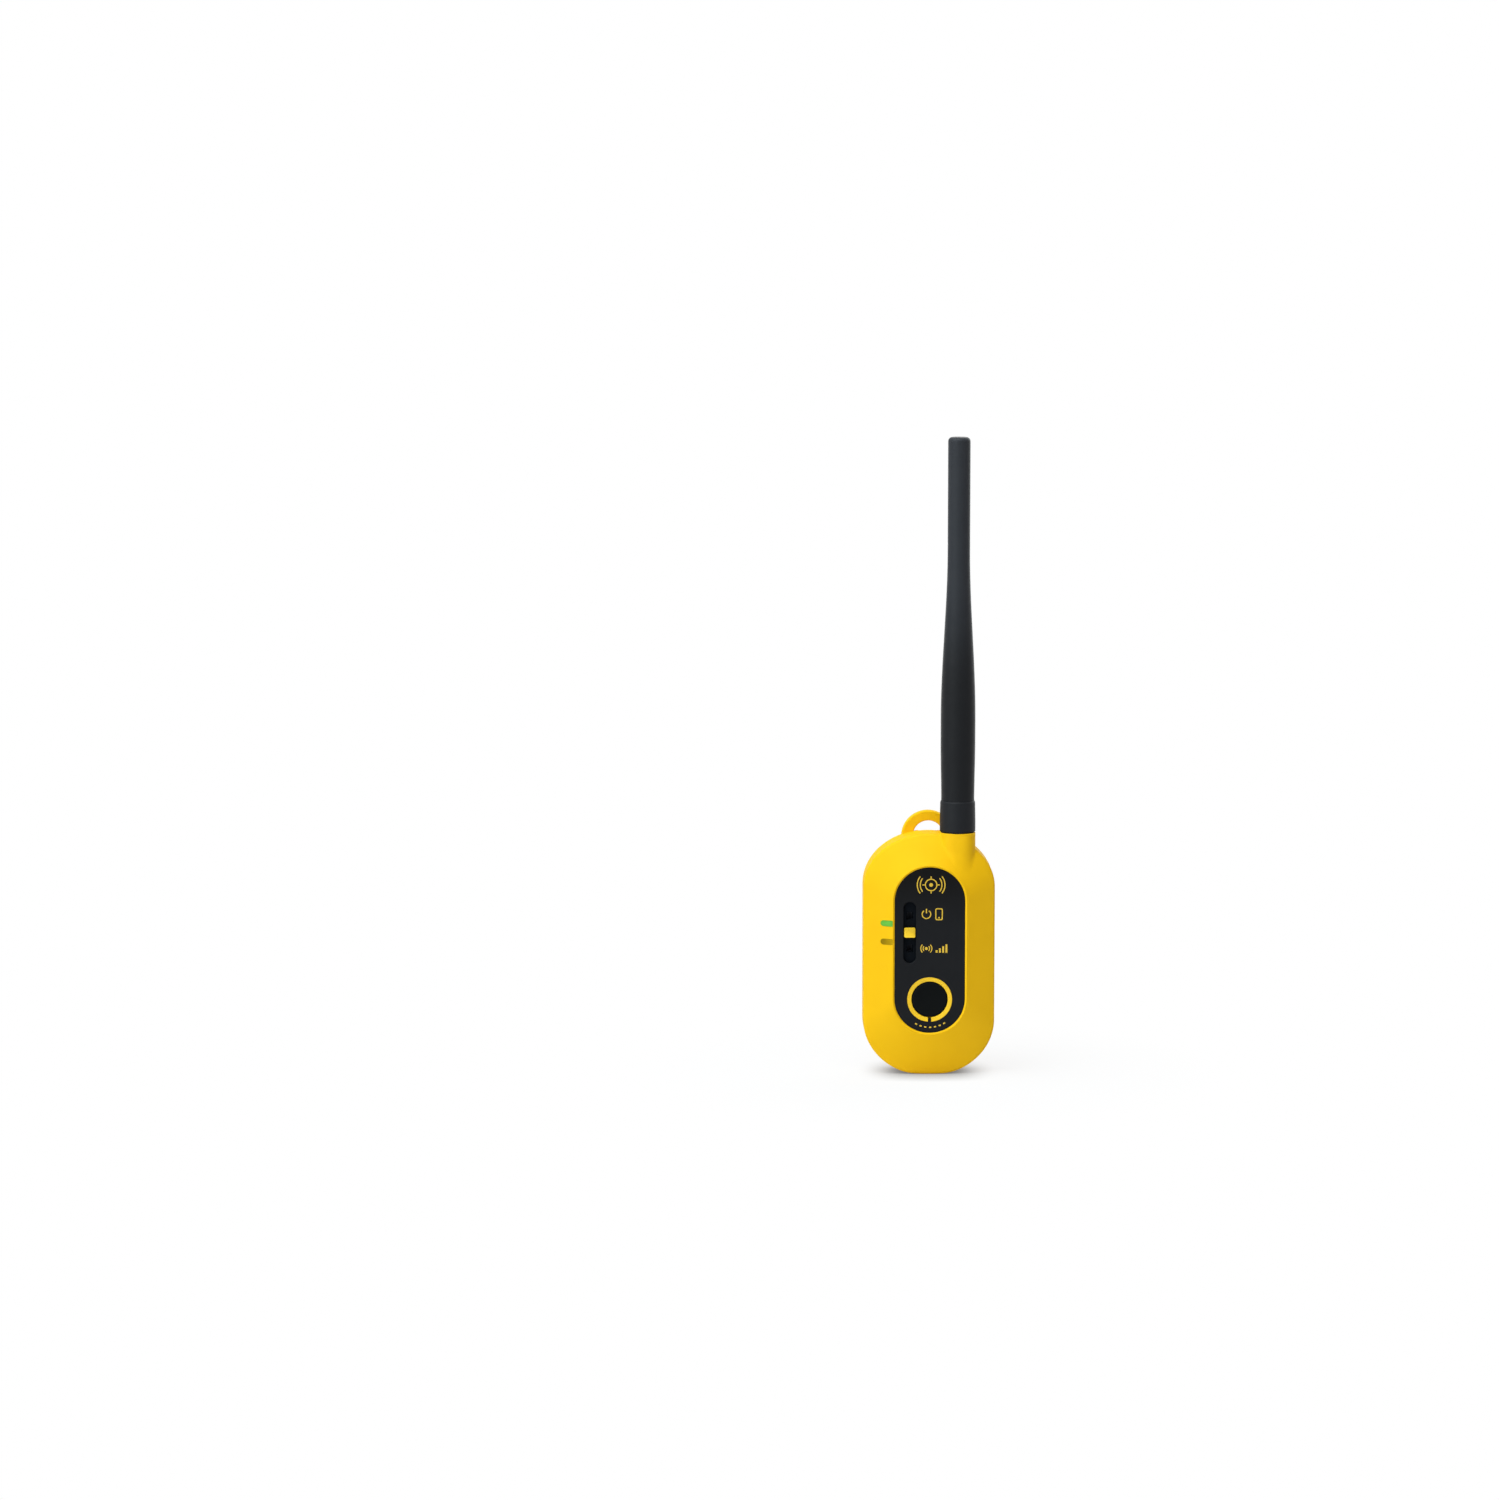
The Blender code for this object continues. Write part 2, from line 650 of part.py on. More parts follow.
head_under = BACK_Y - COUNTERBORE_DEPTH + GAP
head_over = head_under + HEAD_HEIGHT
screw_tip = ON_FRONT - PILOT_DEPTH + GAP
for number, (x, z) in enumerate(boss_places, start=1):
    screw = turned(
        f"case_screw_{number}",
        [
            (0.0, head_over),
            (HEAD_DIAMETER / 2, head_over),
            (HEAD_DIAMETER / 2, head_under),
            (SCREW_DIAMETER / 2, head_under),
            (SCREW_DIAMETER / 2, screw_tip),
            (0.0, screw_tip),
        ],
        (x, 0.0, z),
        TO_BACK,
        screw_steel,
        steps=SMALL_STEPS,
    )
    reach = HEAD_DIAMETER / 3
    for name, along_x, along_z in (
        ("bar", reach, CROSS_WIDTH / 2),
        ("post", CROSS_WIDTH / 2, reach),
    ):
        slot = box(
            f"cross_{name}_{number}",
            (x - along_x, head_over - CROSS_DEPTH, z - along_z),
            (x + along_x, head_over + OVERRUN, z + along_z),
        )
        cut(screw, slot)

# Control panel, button ring and function button
control_panel = loft(
    "control_panel",
    [(panel_outline(0.0), PANEL_FRONT), (panel_outline(0.0), PANEL_BACK)],
    material=panel_black,
)
button_place = (0.0, 0.0, BUTTON_Z)
ring_hole_radius = RING_OUTER / 2 + GAP
ring_hole = rod(
    "ring_hole",
    ring_hole_radius,
    PANEL_FRONT - OVERRUN,
    PANEL_BACK + OVERRUN,
    TO_BACK,
    button_place,
    steps=48,
)
tongue_half = RING_GAP / 2 - GAP
tongue = box(
    "tongue",
    (-tongue_half, PANEL_FRONT - 2 * OVERRUN, BUTTON_Z - ring_hole_radius - OVERRUN),
    (tongue_half, PANEL_BACK + 2 * OVERRUN, BUTTON_Z - RING_INNER / 2 - GAP),
)
cut(ring_hole, tongue)


def slot_outline(x, z, half_width, half_length):
    outline = pill(half_width, half_length, -half_length, half_width, half_width)
    return [(x + a, z + b) for a, b in outline]


panel_slot = loft(
    "panel_slot",
    [
        (slot_outline(SLOT_X, SLOT_Z, SLOT_WIDTH / 2, SLOT_LENGTH / 2), y)
        for y in (PANEL_FRONT - OVERRUN, PANEL_BACK + OVERRUN)
    ],
)
cut(control_panel, ring_hole, panel_slot)

ring_edge = -(PANEL_FRONT - RING_STAND)
button_ring = turned(
    "button_ring",
    [
        (RING_INNER / 2, ring_edge - RING_DISH),
        (RING_OUTER / 2, ring_edge),
        (RING_OUTER / 2, -PANEL_BACK),
        (RING_INNER / 2, -PANEL_BACK),
    ],
    button_place,
    TO_FRONT,
    trim_yellow,
    ring=True,
    steps=48,
)
ring_notch = box(
    "ring_notch",
    (-RING_GAP / 2, PANEL_FRONT - OVERRUN, BUTTON_Z - RING_OUTER / 2 - OVERRUN),
    (RING_GAP / 2, PANEL_BACK + OVERRUN, BUTTON_Z - RING_INNER / 4),
)
cut(button_ring, ring_notch)

cap_radius = RING_INNER / 2 - TIGHT
flange_radius = cap_radius + BUTTON_LEDGE
flange_front = FLOOR_BACK + GAP
flange_back = flange_front + BUTTON_FLANGE
plunger_front = ON_FRONT - TACT_HEIGHT - PLUNGER_STAND
cap_face = PANEL_FRONT + BUTTON_SINK
function_button = turned(
    "function_button",
    [
        (0.0, -(cap_face + BUTTON_DISH)),
        (cap_radius * 0.45, -(cap_face + BUTTON_DISH * 0.8)),
        (cap_radius * 0.75, -(cap_face + BUTTON_DISH * 0.44)),
        (cap_radius - BUTTON_DISH, -cap_face),
        (cap_radius, -(cap_face + BUTTON_DISH)),
        (cap_radius, -flange_front),
        (flange_radius, -flange_front),
        (flange_radius, -flange_back),
        (BUTTON_STEM / 2, -flange_back),
        (BUTTON_STEM / 2, -(plunger_front - GAP)),
        (0.0, -(plunger_front - GAP)),
    ],
    button_place,
    TO_FRONT,
    button_black,
    steps=32,
)
button_hole = rod(
    "button_hole",
    cap_radius + GAP,
    PANEL_FRONT - OVERRUN,
    FLOOR_BACK + OVERRUN,
    TO_BACK,
    button_place,
    steps=40,
)
cut(front_shell, button_hole)
seal_inner = flange_radius + GAP
button_seal = turned(
    "button_seal",
    [
        (seal_inner + BUTTON_SEAL_WIDTH, -flange_front),
        (seal_inner + BUTTON_SEAL_WIDTH, -flange_back),
        (seal_inner, -flange_back),
        (seal_inner, -flange_front),
    ],
    button_place,
    TO_FRONT,
    seal_rubber,
    ring=True,
    steps=28,
)
tact_front = ON_FRONT - TACT_HEIGHT
tact_switch = box(
    "tact_switch",
    (-TACT_SIZE / 2, tact_front, BUTTON_Z - TACT_SIZE / 2),
    (TACT_SIZE / 2, ON_FRONT, BUTTON_Z + TACT_SIZE / 2),
    switch_black,
)
tact_bore = rod(
    "tact_bore",
    PLUNGER_DIAMETER / 2 + GAP,
    tact_front - OVERRUN,
    ON_FRONT + OVERRUN,
    TO_BACK,
    button_place,
)
cut(tact_switch, tact_bore)
tact_plunger = rod(
    "tact_plunger",
    PLUNGER_DIAMETER / 2,
    plunger_front,
    ON_FRONT - BUTTON_TRAVEL - GAP,
    TO_BACK,
    button_place,
    lever_metal,
)

# Slide control
carriage_half = SLOT_WIDTH / 2 + CARRIAGE_LEDGE
trough_half = carriage_half + GAP
trough_half_length = CARRIAGE_LENGTH / 2 + SLIDE_TRAVEL + GAP
track_half = trough_half + TRACK_WALL
track_half_length = trough_half_length + TRACK_WALL
carriage_front = SEAT_Y + GAP
carriage_back = carriage_front + CARRIAGE_THICKNESS
trough_floor = carriage_back + GAP
track_back = trough_floor + TRACK_WALL
track_flange_front = FLOOR_BACK + GAP
slider_track = box(
    "slider_track",
    (SLOT_X - track_half, SEAT_Y, SLOT_Z - track_half_length),
    (SLOT_X + track_half, track_back, SLOT_Z + track_half_length),
    track_black,
)
track_flange = box(
    "track_flange",
    (
        SLOT_X - track_half - TRACK_FLANGE,
        track_flange_front,
        SLOT_Z - track_half_length - TRACK_FLANGE,
    ),
    (
        SLOT_X + track_half + TRACK_FLANGE,
        track_flange_front + TRACK_FLANGE,
        SLOT_Z + track_half_length + TRACK_FLANGE,
    ),
)
trough = box(
    "trough",
    (SLOT_X - trough_half, SEAT_Y - OVERRUN, SLOT_Z - trough_half_length),
    (SLOT_X + trough_half, trough_floor, SLOT_Z + trough_half_length),
)
stem_half = STEM_WIDTH / 2
stem_half_length = STEM_LENGTH / 2
stem_slit = box(
    "stem_slit",
    (
        SLOT_X - stem_half - GAP,
        SEAT_Y,
        SLOT_Z - stem_half_length - SLIDE_TRAVEL - GAP,
    ),
    (
        SLOT_X + stem_half + GAP,
        track_back + OVERRUN,
        SLOT_Z + stem_half_length + SLIDE_TRAVEL + GAP,
    ),
)
join(slider_track, track_flange)
cut(slider_track, trough, stem_slit)
track_opening = box(
    "track_opening",
    (SLOT_X - track_half - GAP, PANEL_FRONT, SLOT_Z - track_half_length - GAP),
    (SLOT_X + track_half + GAP, FLOOR_BACK + OVERRUN, SLOT_Z + track_half_length + GAP),
)
cut(front_shell, track_opening)

thumb_half = SLOT_WIDTH / 2 - GAP
thumb_half_height = THUMB_HEIGHT / 2
thumb_front = PANEL_FRONT - THUMB_STAND
thumb_back = carriage_front - GAP
post_half = thumb_half - THUMB_WALL - GAP
post_half_height = thumb_half_height - THUMB_WALL - GAP
pocket_front = thumb_front + THUMB_CAP
switch_front = ON_FRONT - SWITCH_HEIGHT
stem_back = switch_front - GAP
lever_front = carriage_back + GAP
slider_thumb = box(
    "slider_thumb",
    (SLOT_X - thumb_half, thumb_front, SLOT_Z - thumb_half_height),
    (SLOT_X + thumb_half, thumb_back, SLOT_Z + thumb_half_height),
    thumb_yellow,
    rounded=0.35 * MM,
)
thumb_pocket = box(
    "thumb_pocket",
    (SLOT_X - post_half - GAP, pocket_front, SLOT_Z - post_half_height - GAP),
    (SLOT_X + post_half + GAP, thumb_back + OVERRUN, SLOT_Z + post_half_height + GAP),
)
cut(slider_thumb, thumb_pocket)
slider_carriage = box(
    "slider_carriage",
    (SLOT_X - carriage_half, carriage_front, SLOT_Z - CARRIAGE_LENGTH / 2),
    (SLOT_X + carriage_half, carriage_back, SLOT_Z + CARRIAGE_LENGTH / 2),
    carriage_black,
)
carriage_post = box(
    "carriage_post",
    (SLOT_X - post_half, pocket_front + GAP, SLOT_Z - post_half_height),
    (SLOT_X + post_half, carriage_front + CARRIAGE_THICKNESS / 2, SLOT_Z + post_half_height),
)
carriage_stem = box(
    "carriage_stem",
    (
        SLOT_X - stem_half,
        carriage_back - CARRIAGE_THICKNESS / 2,
        SLOT_Z - stem_half_length,
    ),
    (SLOT_X + stem_half, stem_back, SLOT_Z + stem_half_length),
)
fork = box(
    "fork",
    (SLOT_X - STEM_WIDTH, lever_front - GAP, SLOT_Z - LEVER_SIZE / 2 - GAP),
    (SLOT_X + STEM_WIDTH, stem_back + OVERRUN, SLOT_Z + LEVER_SIZE / 2 + GAP),
)
join(slider_carriage, carriage_post, carriage_stem)
cut(slider_carriage, fork)
lever_reach = LEVER_SIZE / 2 + SLIDE_TRAVEL + GAP
lever_back = ON_FRONT - SWITCH_HEIGHT / 3
slide_switch = box(
    "slide_switch",
    (
        SLOT_X - LEVER_SIZE / 2 - SWITCH_WALL,
        switch_front,
        SLOT_Z - lever_reach - SWITCH_WALL,
    ),
    (
        SLOT_X + LEVER_SIZE / 2 + SWITCH_WALL,
        ON_FRONT,
        SLOT_Z + lever_reach + SWITCH_WALL,
    ),
    switch_black,
)
lever_slot = box(
    "lever_slot",
    (SLOT_X - LEVER_SIZE / 2 - GAP, switch_front - OVERRUN, SLOT_Z - lever_reach),
    (SLOT_X + LEVER_SIZE / 2 + GAP, lever_back + GAP, SLOT_Z + lever_reach),
)
cut(slide_switch, lever_slot)
slide_switch_lever = box(
    "slide_switch_lever",
    (SLOT_X - LEVER_SIZE / 2, lever_front, SLOT_Z - LEVER_SIZE / 2),
    (SLOT_X + LEVER_SIZE / 2, lever_back, SLOT_Z + LEVER_SIZE / 2),
    lever_metal,
)


# Light windows and the lights behind them
def window_outline(x, z, grow):
    half_length = LENS_LENGTH / 2 + grow
    half_height = LENS_HEIGHT / 2 + grow
    outline = pill(half_height, half_length, -half_length, half_height, half_height)
    return [(x + b, z + a) for a, b in outline]


lens_x = -LIP_HALF - LENS_OFFSET - LENS_LENGTH / 2
led_front = ON_FRONT - LED_HEIGHT
for colour, rise, lens_material in (
    ("green", GREEN_RISE, green_lens),
    ("amber", AMBER_RISE, amber_lens),
):
    lens_z = PANEL_Z + rise
    lens = loft(
        f"led_lens_{colour}",
        [
            (window_outline(lens_x, lens_z, 0.0), y)
            for y in (LIP_Y - OVERRUN, led_front - GAP)
        ],
        material=lens_material,
    )
    combine(lens, "INTERSECT", front_form)
    window = loft(
        f"window_{colour}",
        [
            (window_outline(lens_x, lens_z, TIGHT), y)
            for y in (LIP_Y - 2 * OVERRUN, RIM_Y)
        ],
    )
    cut(front_shell, window)
    box(
        f"led_chip_{colour}",
        (lens_x - LED_SIZE / 2, led_front, lens_z - LED_SIZE / 2),
        (lens_x + LED_SIZE / 2, ON_FRONT, lens_z + LED_SIZE / 2),
        led_white,
    )

# Circuit board and what stands on it
main_board = box(
    "main_board",
    (-BOARD_HALF, BOARD_FRONT, BOARD_FOOT_MARGIN),
    (BOARD_HALF, BOARD_BACK, BOARD_TOP),
    board_green,
)
corner_edges = bmesh.new()
corner_edges.from_mesh(main_board.data)
bmesh.ops.bevel(
    corner_edges,
    geom=[
        edge
        for edge in corner_edges.edges
        if abs(edge.verts[0].co.y - edge.verts[1].co.y) > BOARD_THICKNESS / 2
    ],
    offset=BOARD_CORNER,
    segments=4,
    profile=0.5,
    affect="EDGES",
)
corner_edges.to_mesh(main_board.data)
corner_edges.free()
for number, (x, z) in enumerate(boss_places, start=1):
    board_hole = rod(
        f"board_hole_{number}",
        SCREW_DIAMETER / 2 + GAP,
        BOARD_FRONT - OVERRUN,
        BOARD_BACK + OVERRUN,
        TO_BACK,
        (x, 0.0, z),
    )
    cut(main_board, board_hole)

rf_shield = box(
    "rf_shield",
    (-SHIELD_SIZE / 2, ON_BACK, BATTERY_Z - SHIELD_SIZE / 2),
    (SHIELD_SIZE / 2, ON_BACK + SHIELD_HEIGHT, BATTERY_Z + SHIELD_SIZE / 2),
    shield_metal,
)
shield_inside = SHIELD_SIZE / 2 - SHIELD_WALL
shield_hollow = box(
    "shield_hollow",
    (-shield_inside, ON_BACK - OVERRUN, BATTERY_Z - shield_inside),
    (shield_inside, ON_BACK + SHIELD_HEIGHT - SHIELD_WALL, BATTERY_Z + shield_inside),
)
cut(rf_shield, shield_hollow)
between_bosses = BOSS_X - BOSS_DIAMETER / 2 - BATTERY_ROOM
patch_right = PATCH_SIZE - between_bosses
patch_top = SOCKET_LOW - PATCH_ROOM
gps_patch = box(
    "gps_patch",
    (-between_bosses, ON_BACK, patch_top - PATCH_SIZE),
    (patch_right, ON_BACK + PATCH_HEIGHT, patch_top),
    patch_ceramic,
)
radio_top = BOARD_TOP - RADIO_DROP
radio_module = box(
    "radio_module",
    (RADIO_X - RADIO_WIDTH / 2, ON_FRONT - RADIO_DEPTH, radio_top - RADIO_HEIGHT),
    (RADIO_X + RADIO_WIDTH / 2, ON_FRONT, radio_top),
    radio_metal,
)

# Battery on its pad, with leads to the board
pad_back = BACK_INNER - GAP
pad_front = pad_back - PAD_THICKNESS
battery_back = pad_front - GAP
battery_front = battery_back - BATTERY_THICKNESS
battery_half = between_bosses
battery = box(
    "battery",
    (-battery_half, battery_front, BATTERY_LOW),
    (battery_half, battery_back, BATTERY_HIGH),
    battery_foil,
    rounded=BATTERY_EDGE,
)
pad_half = battery_half - PAD_MARGIN
battery_pad = box(
    "battery_pad",
    (-pad_half, pad_front, BATTERY_LOW + PAD_MARGIN),
    (pad_half, pad_back, BATTERY_HIGH - PAD_MARGIN),
    pad_foam,
)
connector_left = patch_right + CONNECTOR_ROOM
connector_low = BATTERY_HIGH + LEAD_RUN
battery_connector = box(
    "battery_connector",
    (connector_left, ON_BACK, connector_low),
    (connector_left + CONNECTOR_SIZE, ON_BACK + CONNECTOR_DEPTH, connector_low + CONNECTOR_SIZE),
    connector_white,
)
lead_end_y = ON_BACK + CONNECTOR_DEPTH / 2
lead_start_y = (battery_front + battery_back) / 2
lead_x = connector_left + CONNECTOR_SIZE / 2
lead_start_z = BATTERY_HIGH + GAP
lead_end_z = connector_low - GAP
for colour, side, lead_material in (
    ("red", -0.5, lead_red),
    ("black", 0.5, lead_black),
):
    path = bpy.data.curves.new(f"battery_lead_{colour}", "CURVE")
    path.dimensions = "3D"
    path.bevel_depth = LEAD_DIAMETER / 2
    path.bevel_resolution = 2
    path.use_fill_caps = True
    spline = path.splines.new("POLY")
    spline.points.add(LEAD_STEPS)
    for i, point in enumerate(spline.points):
        t = i / LEAD_STEPS
        ease = t * t * (3 - 2 * t)
        point.co = (
            lead_x + side * LEAD_SPACING,
            lead_start_y + (lead_end_y - lead_start_y) * ease,
            lead_start_z + (lead_end_z - lead_start_z) * t,
            1.0,
        )
    add(f"battery_lead_{colour}", path, material=lead_material)

# Charging socket and its hinged cover
port_face = INNER_HALF - GAP
charge_port = box(
    "charge_port",
    (port_face - PORT_LENGTH, ON_BACK, PORT_Z - PORT_WIDTH / 2),
    (port_face, ON_BACK + PORT_HEIGHT, PORT_Z + PORT_WIDTH / 2),
    port_steel,
)
port_mouth = box(
    "port_mouth",
    (
        port_face - PORT_LENGTH + 2 * PORT_WALL,
        ON_BACK + PORT_WALL,
        PORT_Z - PORT_WIDTH / 2 + PORT_WALL,
    ),
    (
        port_face + OVERRUN,
        ON_BACK + PORT_HEIGHT - PORT_WALL,
        PORT_Z + PORT_WIDTH / 2 - PORT_WALL,
    ),
)
port_tongue = box(
    "port_tongue",
    (
        port_face - PORT_LENGTH + PORT_WALL,
        PORT_Y - TONGUE_THICKNESS / 2,
        PORT_Z - PORT_WIDTH / 2 + 3 * PORT_WALL,
    ),
    (
        port_face - 3 * PORT_WALL,
        PORT_Y + TONGUE_THICKNESS / 2,
        PORT_Z + PORT_WIDTH / 2 - 3 * PORT_WALL,
    ),
)
cut(charge_port, port_mouth)
join(charge_port, port_tongue)

cover_outer = HALF_WIDTH - COVER_SINK
cover_inner = cover_outer - COVER_THICKNESS
hinge_x = (cover_inner + cover_outer) / 2
hinge_z = PORT_Z - COVER_BELOW
cover_top = PORT_Z + COVER_ABOVE
cover_half = COVER_WIDTH / 2
cover_pocket = box(
    "cover_pocket",
    (
        cover_inner - GAP,
        PORT_Y - cover_half - GAP,
        hinge_z - COVER_KNUCKLE - 2 * GAP,
    ),
    (HALF_WIDTH + OVERRUN, PORT_Y + cover_half + GAP, cover_top + GAP),
)
port_opening = box(
    "port_opening",
    (
        INNER_HALF - OVERRUN,
        PORT_Y - COVER_PLUG_HEIGHT / 2 - GAP,
        PORT_Z - COVER_PLUG_WIDTH / 2 - GAP,
    ),
    (
        HALF_WIDTH + OVERRUN,
        PORT_Y + COVER_PLUG_HEIGHT / 2 + GAP,
        PORT_Z + COVER_PLUG_WIDTH / 2 + GAP,
    ),
)
nail_notch = rod(
    "nail_notch",
    NAIL_NOTCH,
    PORT_Y - cover_half / 2,
    PORT_Y + cover_half / 2,
    TO_BACK,
    (HALF_WIDTH + NAIL_NOTCH / 2, 0.0, cover_top + GAP),
)
cut(front_shell, cover_pocket, port_opening, nail_notch)
port_cover = box(
    "port_cover",
    (cover_inner, PORT_Y - cover_half, hinge_z),
    (cover_outer, PORT_Y + cover_half, cover_top),
    cover_rubber,
)
cover_knuckle = rod(
    "cover_knuckle",
    COVER_KNUCKLE,
    PORT_Y - cover_half + GAP,
    PORT_Y + cover_half - GAP,
    TO_BACK,
    (hinge_x, 0.0, hinge_z),
)
cover_plug = box(
    "cover_plug",
    (
        cover_inner - COVER_PLUG_DEPTH,
        PORT_Y - COVER_PLUG_HEIGHT / 2,
        PORT_Z - COVER_PLUG_WIDTH / 2,
    ),
    (
        hinge_x,
        PORT_Y + COVER_PLUG_HEIGHT / 2,
        PORT_Z + COVER_PLUG_WIDTH / 2,
    ),
)
join(port_cover, cover_knuckle, cover_plug)

# Antenna socket on the board's top edge
socket_place = (NECK_X, NECK_Y, 0.0)
socket_radius = SOCKET_DIAMETER / 2
socket_top = NECK_TOP + SOCKET_STAND
block_half = socket_radius + GAP
block_high = BOARD_TOP + 2 * SOCKET_LEG
antenna_socket = box(
    "antenna_socket",
    (NECK_X - block_half, BOARD_FRONT - GAP - SOCKET_LEG, SOCKET_LOW),
    (NECK_X + block_half, BOARD_BACK + GAP + SOCKET_LEG, block_high),
    brass,
)
board_slot = box(
    "board_slot",
    (NECK_X - 2 * block_half, BOARD_FRONT - GAP, SOCKET_LOW - OVERRUN),
    (NECK_X + 2 * block_half, BOARD_BACK + GAP, BOARD_TOP + GAP),
)
barrel = rod("barrel", socket_radius, block_high - SOCKET_LEG, socket_top, UPRIGHT, socket_place)
pin_room = rod(
    "pin_room",
    PIN_DIAMETER / 2 + GAP,
    socket_top - PIN_REACH - GAP,
    socket_top + OVERRUN,
    UPRIGHT,
    socket_place,
)
cut(antenna_socket, board_slot)
join(antenna_socket, barrel)
cut(antenna_socket, pin_room)

# Antenna
seat = NECK_TOP + GAP
antenna_tip = NECK_TOP + ANTENNA_LENGTH
collar_top = seat + COLLAR_HEIGHT
plug_radius = PLUG_DIAMETER / 2
plug_low = socket_top - PLUG_REACH
plug_roof = socket_top + GAP
spigot_radius = SPIGOT_DIAMETER / 2
whip_low = collar_top + GAP
spigot_low = whip_low - SPIGOT_LENGTH
plug_high = spigot_low - GAP
radiator_radius = RADIATOR_DIAMETER / 2
bore_radius = radiator_radius + GAP
pin_radius = PIN_DIAMETER / 2
antenna_plug = turned(
    "antenna_plug",
    [
        (plug_radius, plug_high),
        (plug_radius, plug_low),
        (socket_radius + GAP, plug_low),
        (socket_radius + GAP, plug_roof),
        (pin_radius + GAP, plug_roof),
        (pin_radius + GAP, plug_high),
    ],
    neck_place,
    material=plug_nickel,
    ring=True,
)
antenna_collar = turned(
    "antenna_collar",
    [
        (COLLAR_TOP_DIAMETER / 2 - COLLAR_CHAMFER, collar_top),
        (COLLAR_TOP_DIAMETER / 2, collar_top - COLLAR_CHAMFER),
        (COLLAR_DIAMETER / 2, seat + COLLAR_HEIGHT / 3),
        (COLLAR_DIAMETER / 2, seat),
        (plug_radius + GAP, seat),
        (plug_radius + GAP, plug_high + GAP / 2),
        (spigot_radius + GAP, plug_high + GAP / 2),
        (spigot_radius + GAP, collar_top),
    ],
    neck_place,
    material=collar_black,
    ring=True,
    steps=36,
)


def whip_radius(z):
    """Swelling from the collar to the belly, then an S-shaped taper to the slim upper part."""
    base = WHIP_BASE_DIAMETER / 2
    belly = WHIP_BELLY_DIAMETER / 2
    tip = WHIP_TIP_DIAMETER / 2
    height = z - NECK_TOP
    if height < BELLY_HEIGHT:
        t = (z - whip_low) / (NECK_TOP + BELLY_HEIGHT - whip_low)
        return base + (belly - base) * math.sin(t * math.pi / 2)
    t = min(max((height - TAPER_START) / (TAPER_END - TAPER_START), 0.0), 1.0)
    return belly + (tip - belly) * t * t * (3 - 2 * t)


whip_heights = [whip_low + (NECK_TOP + BELLY_HEIGHT - whip_low) * i / 4 for i in range(5)]
whip_heights += [NECK_TOP + TAPER_START + (TAPER_END - TAPER_START) * i / 12 for i in range(13)]
tip_outside = []
for i in range(5):
    angle = math.pi / 2 * i / 4
    tip_outside.append(
        (
            WHIP_TIP_DIAMETER / 2 - TIP_ROUND * (1 - math.sin(angle)),
            antenna_tip - TIP_ROUND * (1 - math.cos(angle)),
        )
    )
radiator_top = antenna_tip - TIP_SOLID
antenna_whip = turned(
    "antenna_whip",
    [(0.0, antenna_tip)]
    + tip_outside
    + [(whip_radius(z), z) for z in reversed(whip_heights)]
    + [
        (spigot_radius, whip_low),
        (spigot_radius, spigot_low),
        (bore_radius, spigot_low),
        (bore_radius, radiator_top + GAP),
        (0.0, radiator_top + GAP),
    ],
    neck_place,
    material=rubber_black,
    steps=28,
)
pin_low = socket_top - PIN_REACH
antenna_radiator = turned(
    "antenna_radiator",
    [
        (0.0, radiator_top),
        (radiator_radius, radiator_top),
        (radiator_radius, spigot_low),
        (pin_radius, spigot_low),
        (pin_radius, pin_low),
        (0.0, pin_low),
    ],
    neck_place,
    material=brass,
    steps=SMALL_STEPS,
)
seal_radius = SEAL_DIAMETER / 2
antenna_seal = turned(
    "antenna_seal",
    [
        (
            seal_middle + seal_radius * math.sin(math.pi * i / 4),
            NECK_TOP - seal_radius + TIGHT / 2 + seal_radius * math.cos(math.pi * i / 4),
        )
        for i in range(8)
    ],
    neck_place,
    material=seal_rubber,
    ring=True,
)

# Joint axes of the moving pieces
axis("button_axis", (0.0, cap_face, BUTTON_Z), function_button, tact_plunger)
axis(
    "slider_axis",
    (SLOT_X, thumb_front, SLOT_Z),
    slider_thumb,
    slider_carriage,
    slide_switch_lever,
)
axis("cover_axis", (hinge_x, PORT_Y, hinge_z), port_cover)
lift_axis = axis("antenna_lift_axis", (NECK_X, NECK_Y, NECK_TOP), antenna_radiator)
axis(
    "antenna_turn_axis",
    (NECK_X, NECK_Y, NECK_TOP),
    antenna_whip,
    antenna_collar,
    antenna_plug,
)
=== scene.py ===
"""Looks of the handheld GPS unit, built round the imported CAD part.

Metres, +Z up, in the frame of the CAD: the front faces -Y and the antenna stands on the +X side.
"""

import math

import bmesh
import bpy
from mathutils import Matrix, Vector
from mathutils.bvhtree import BVHTree


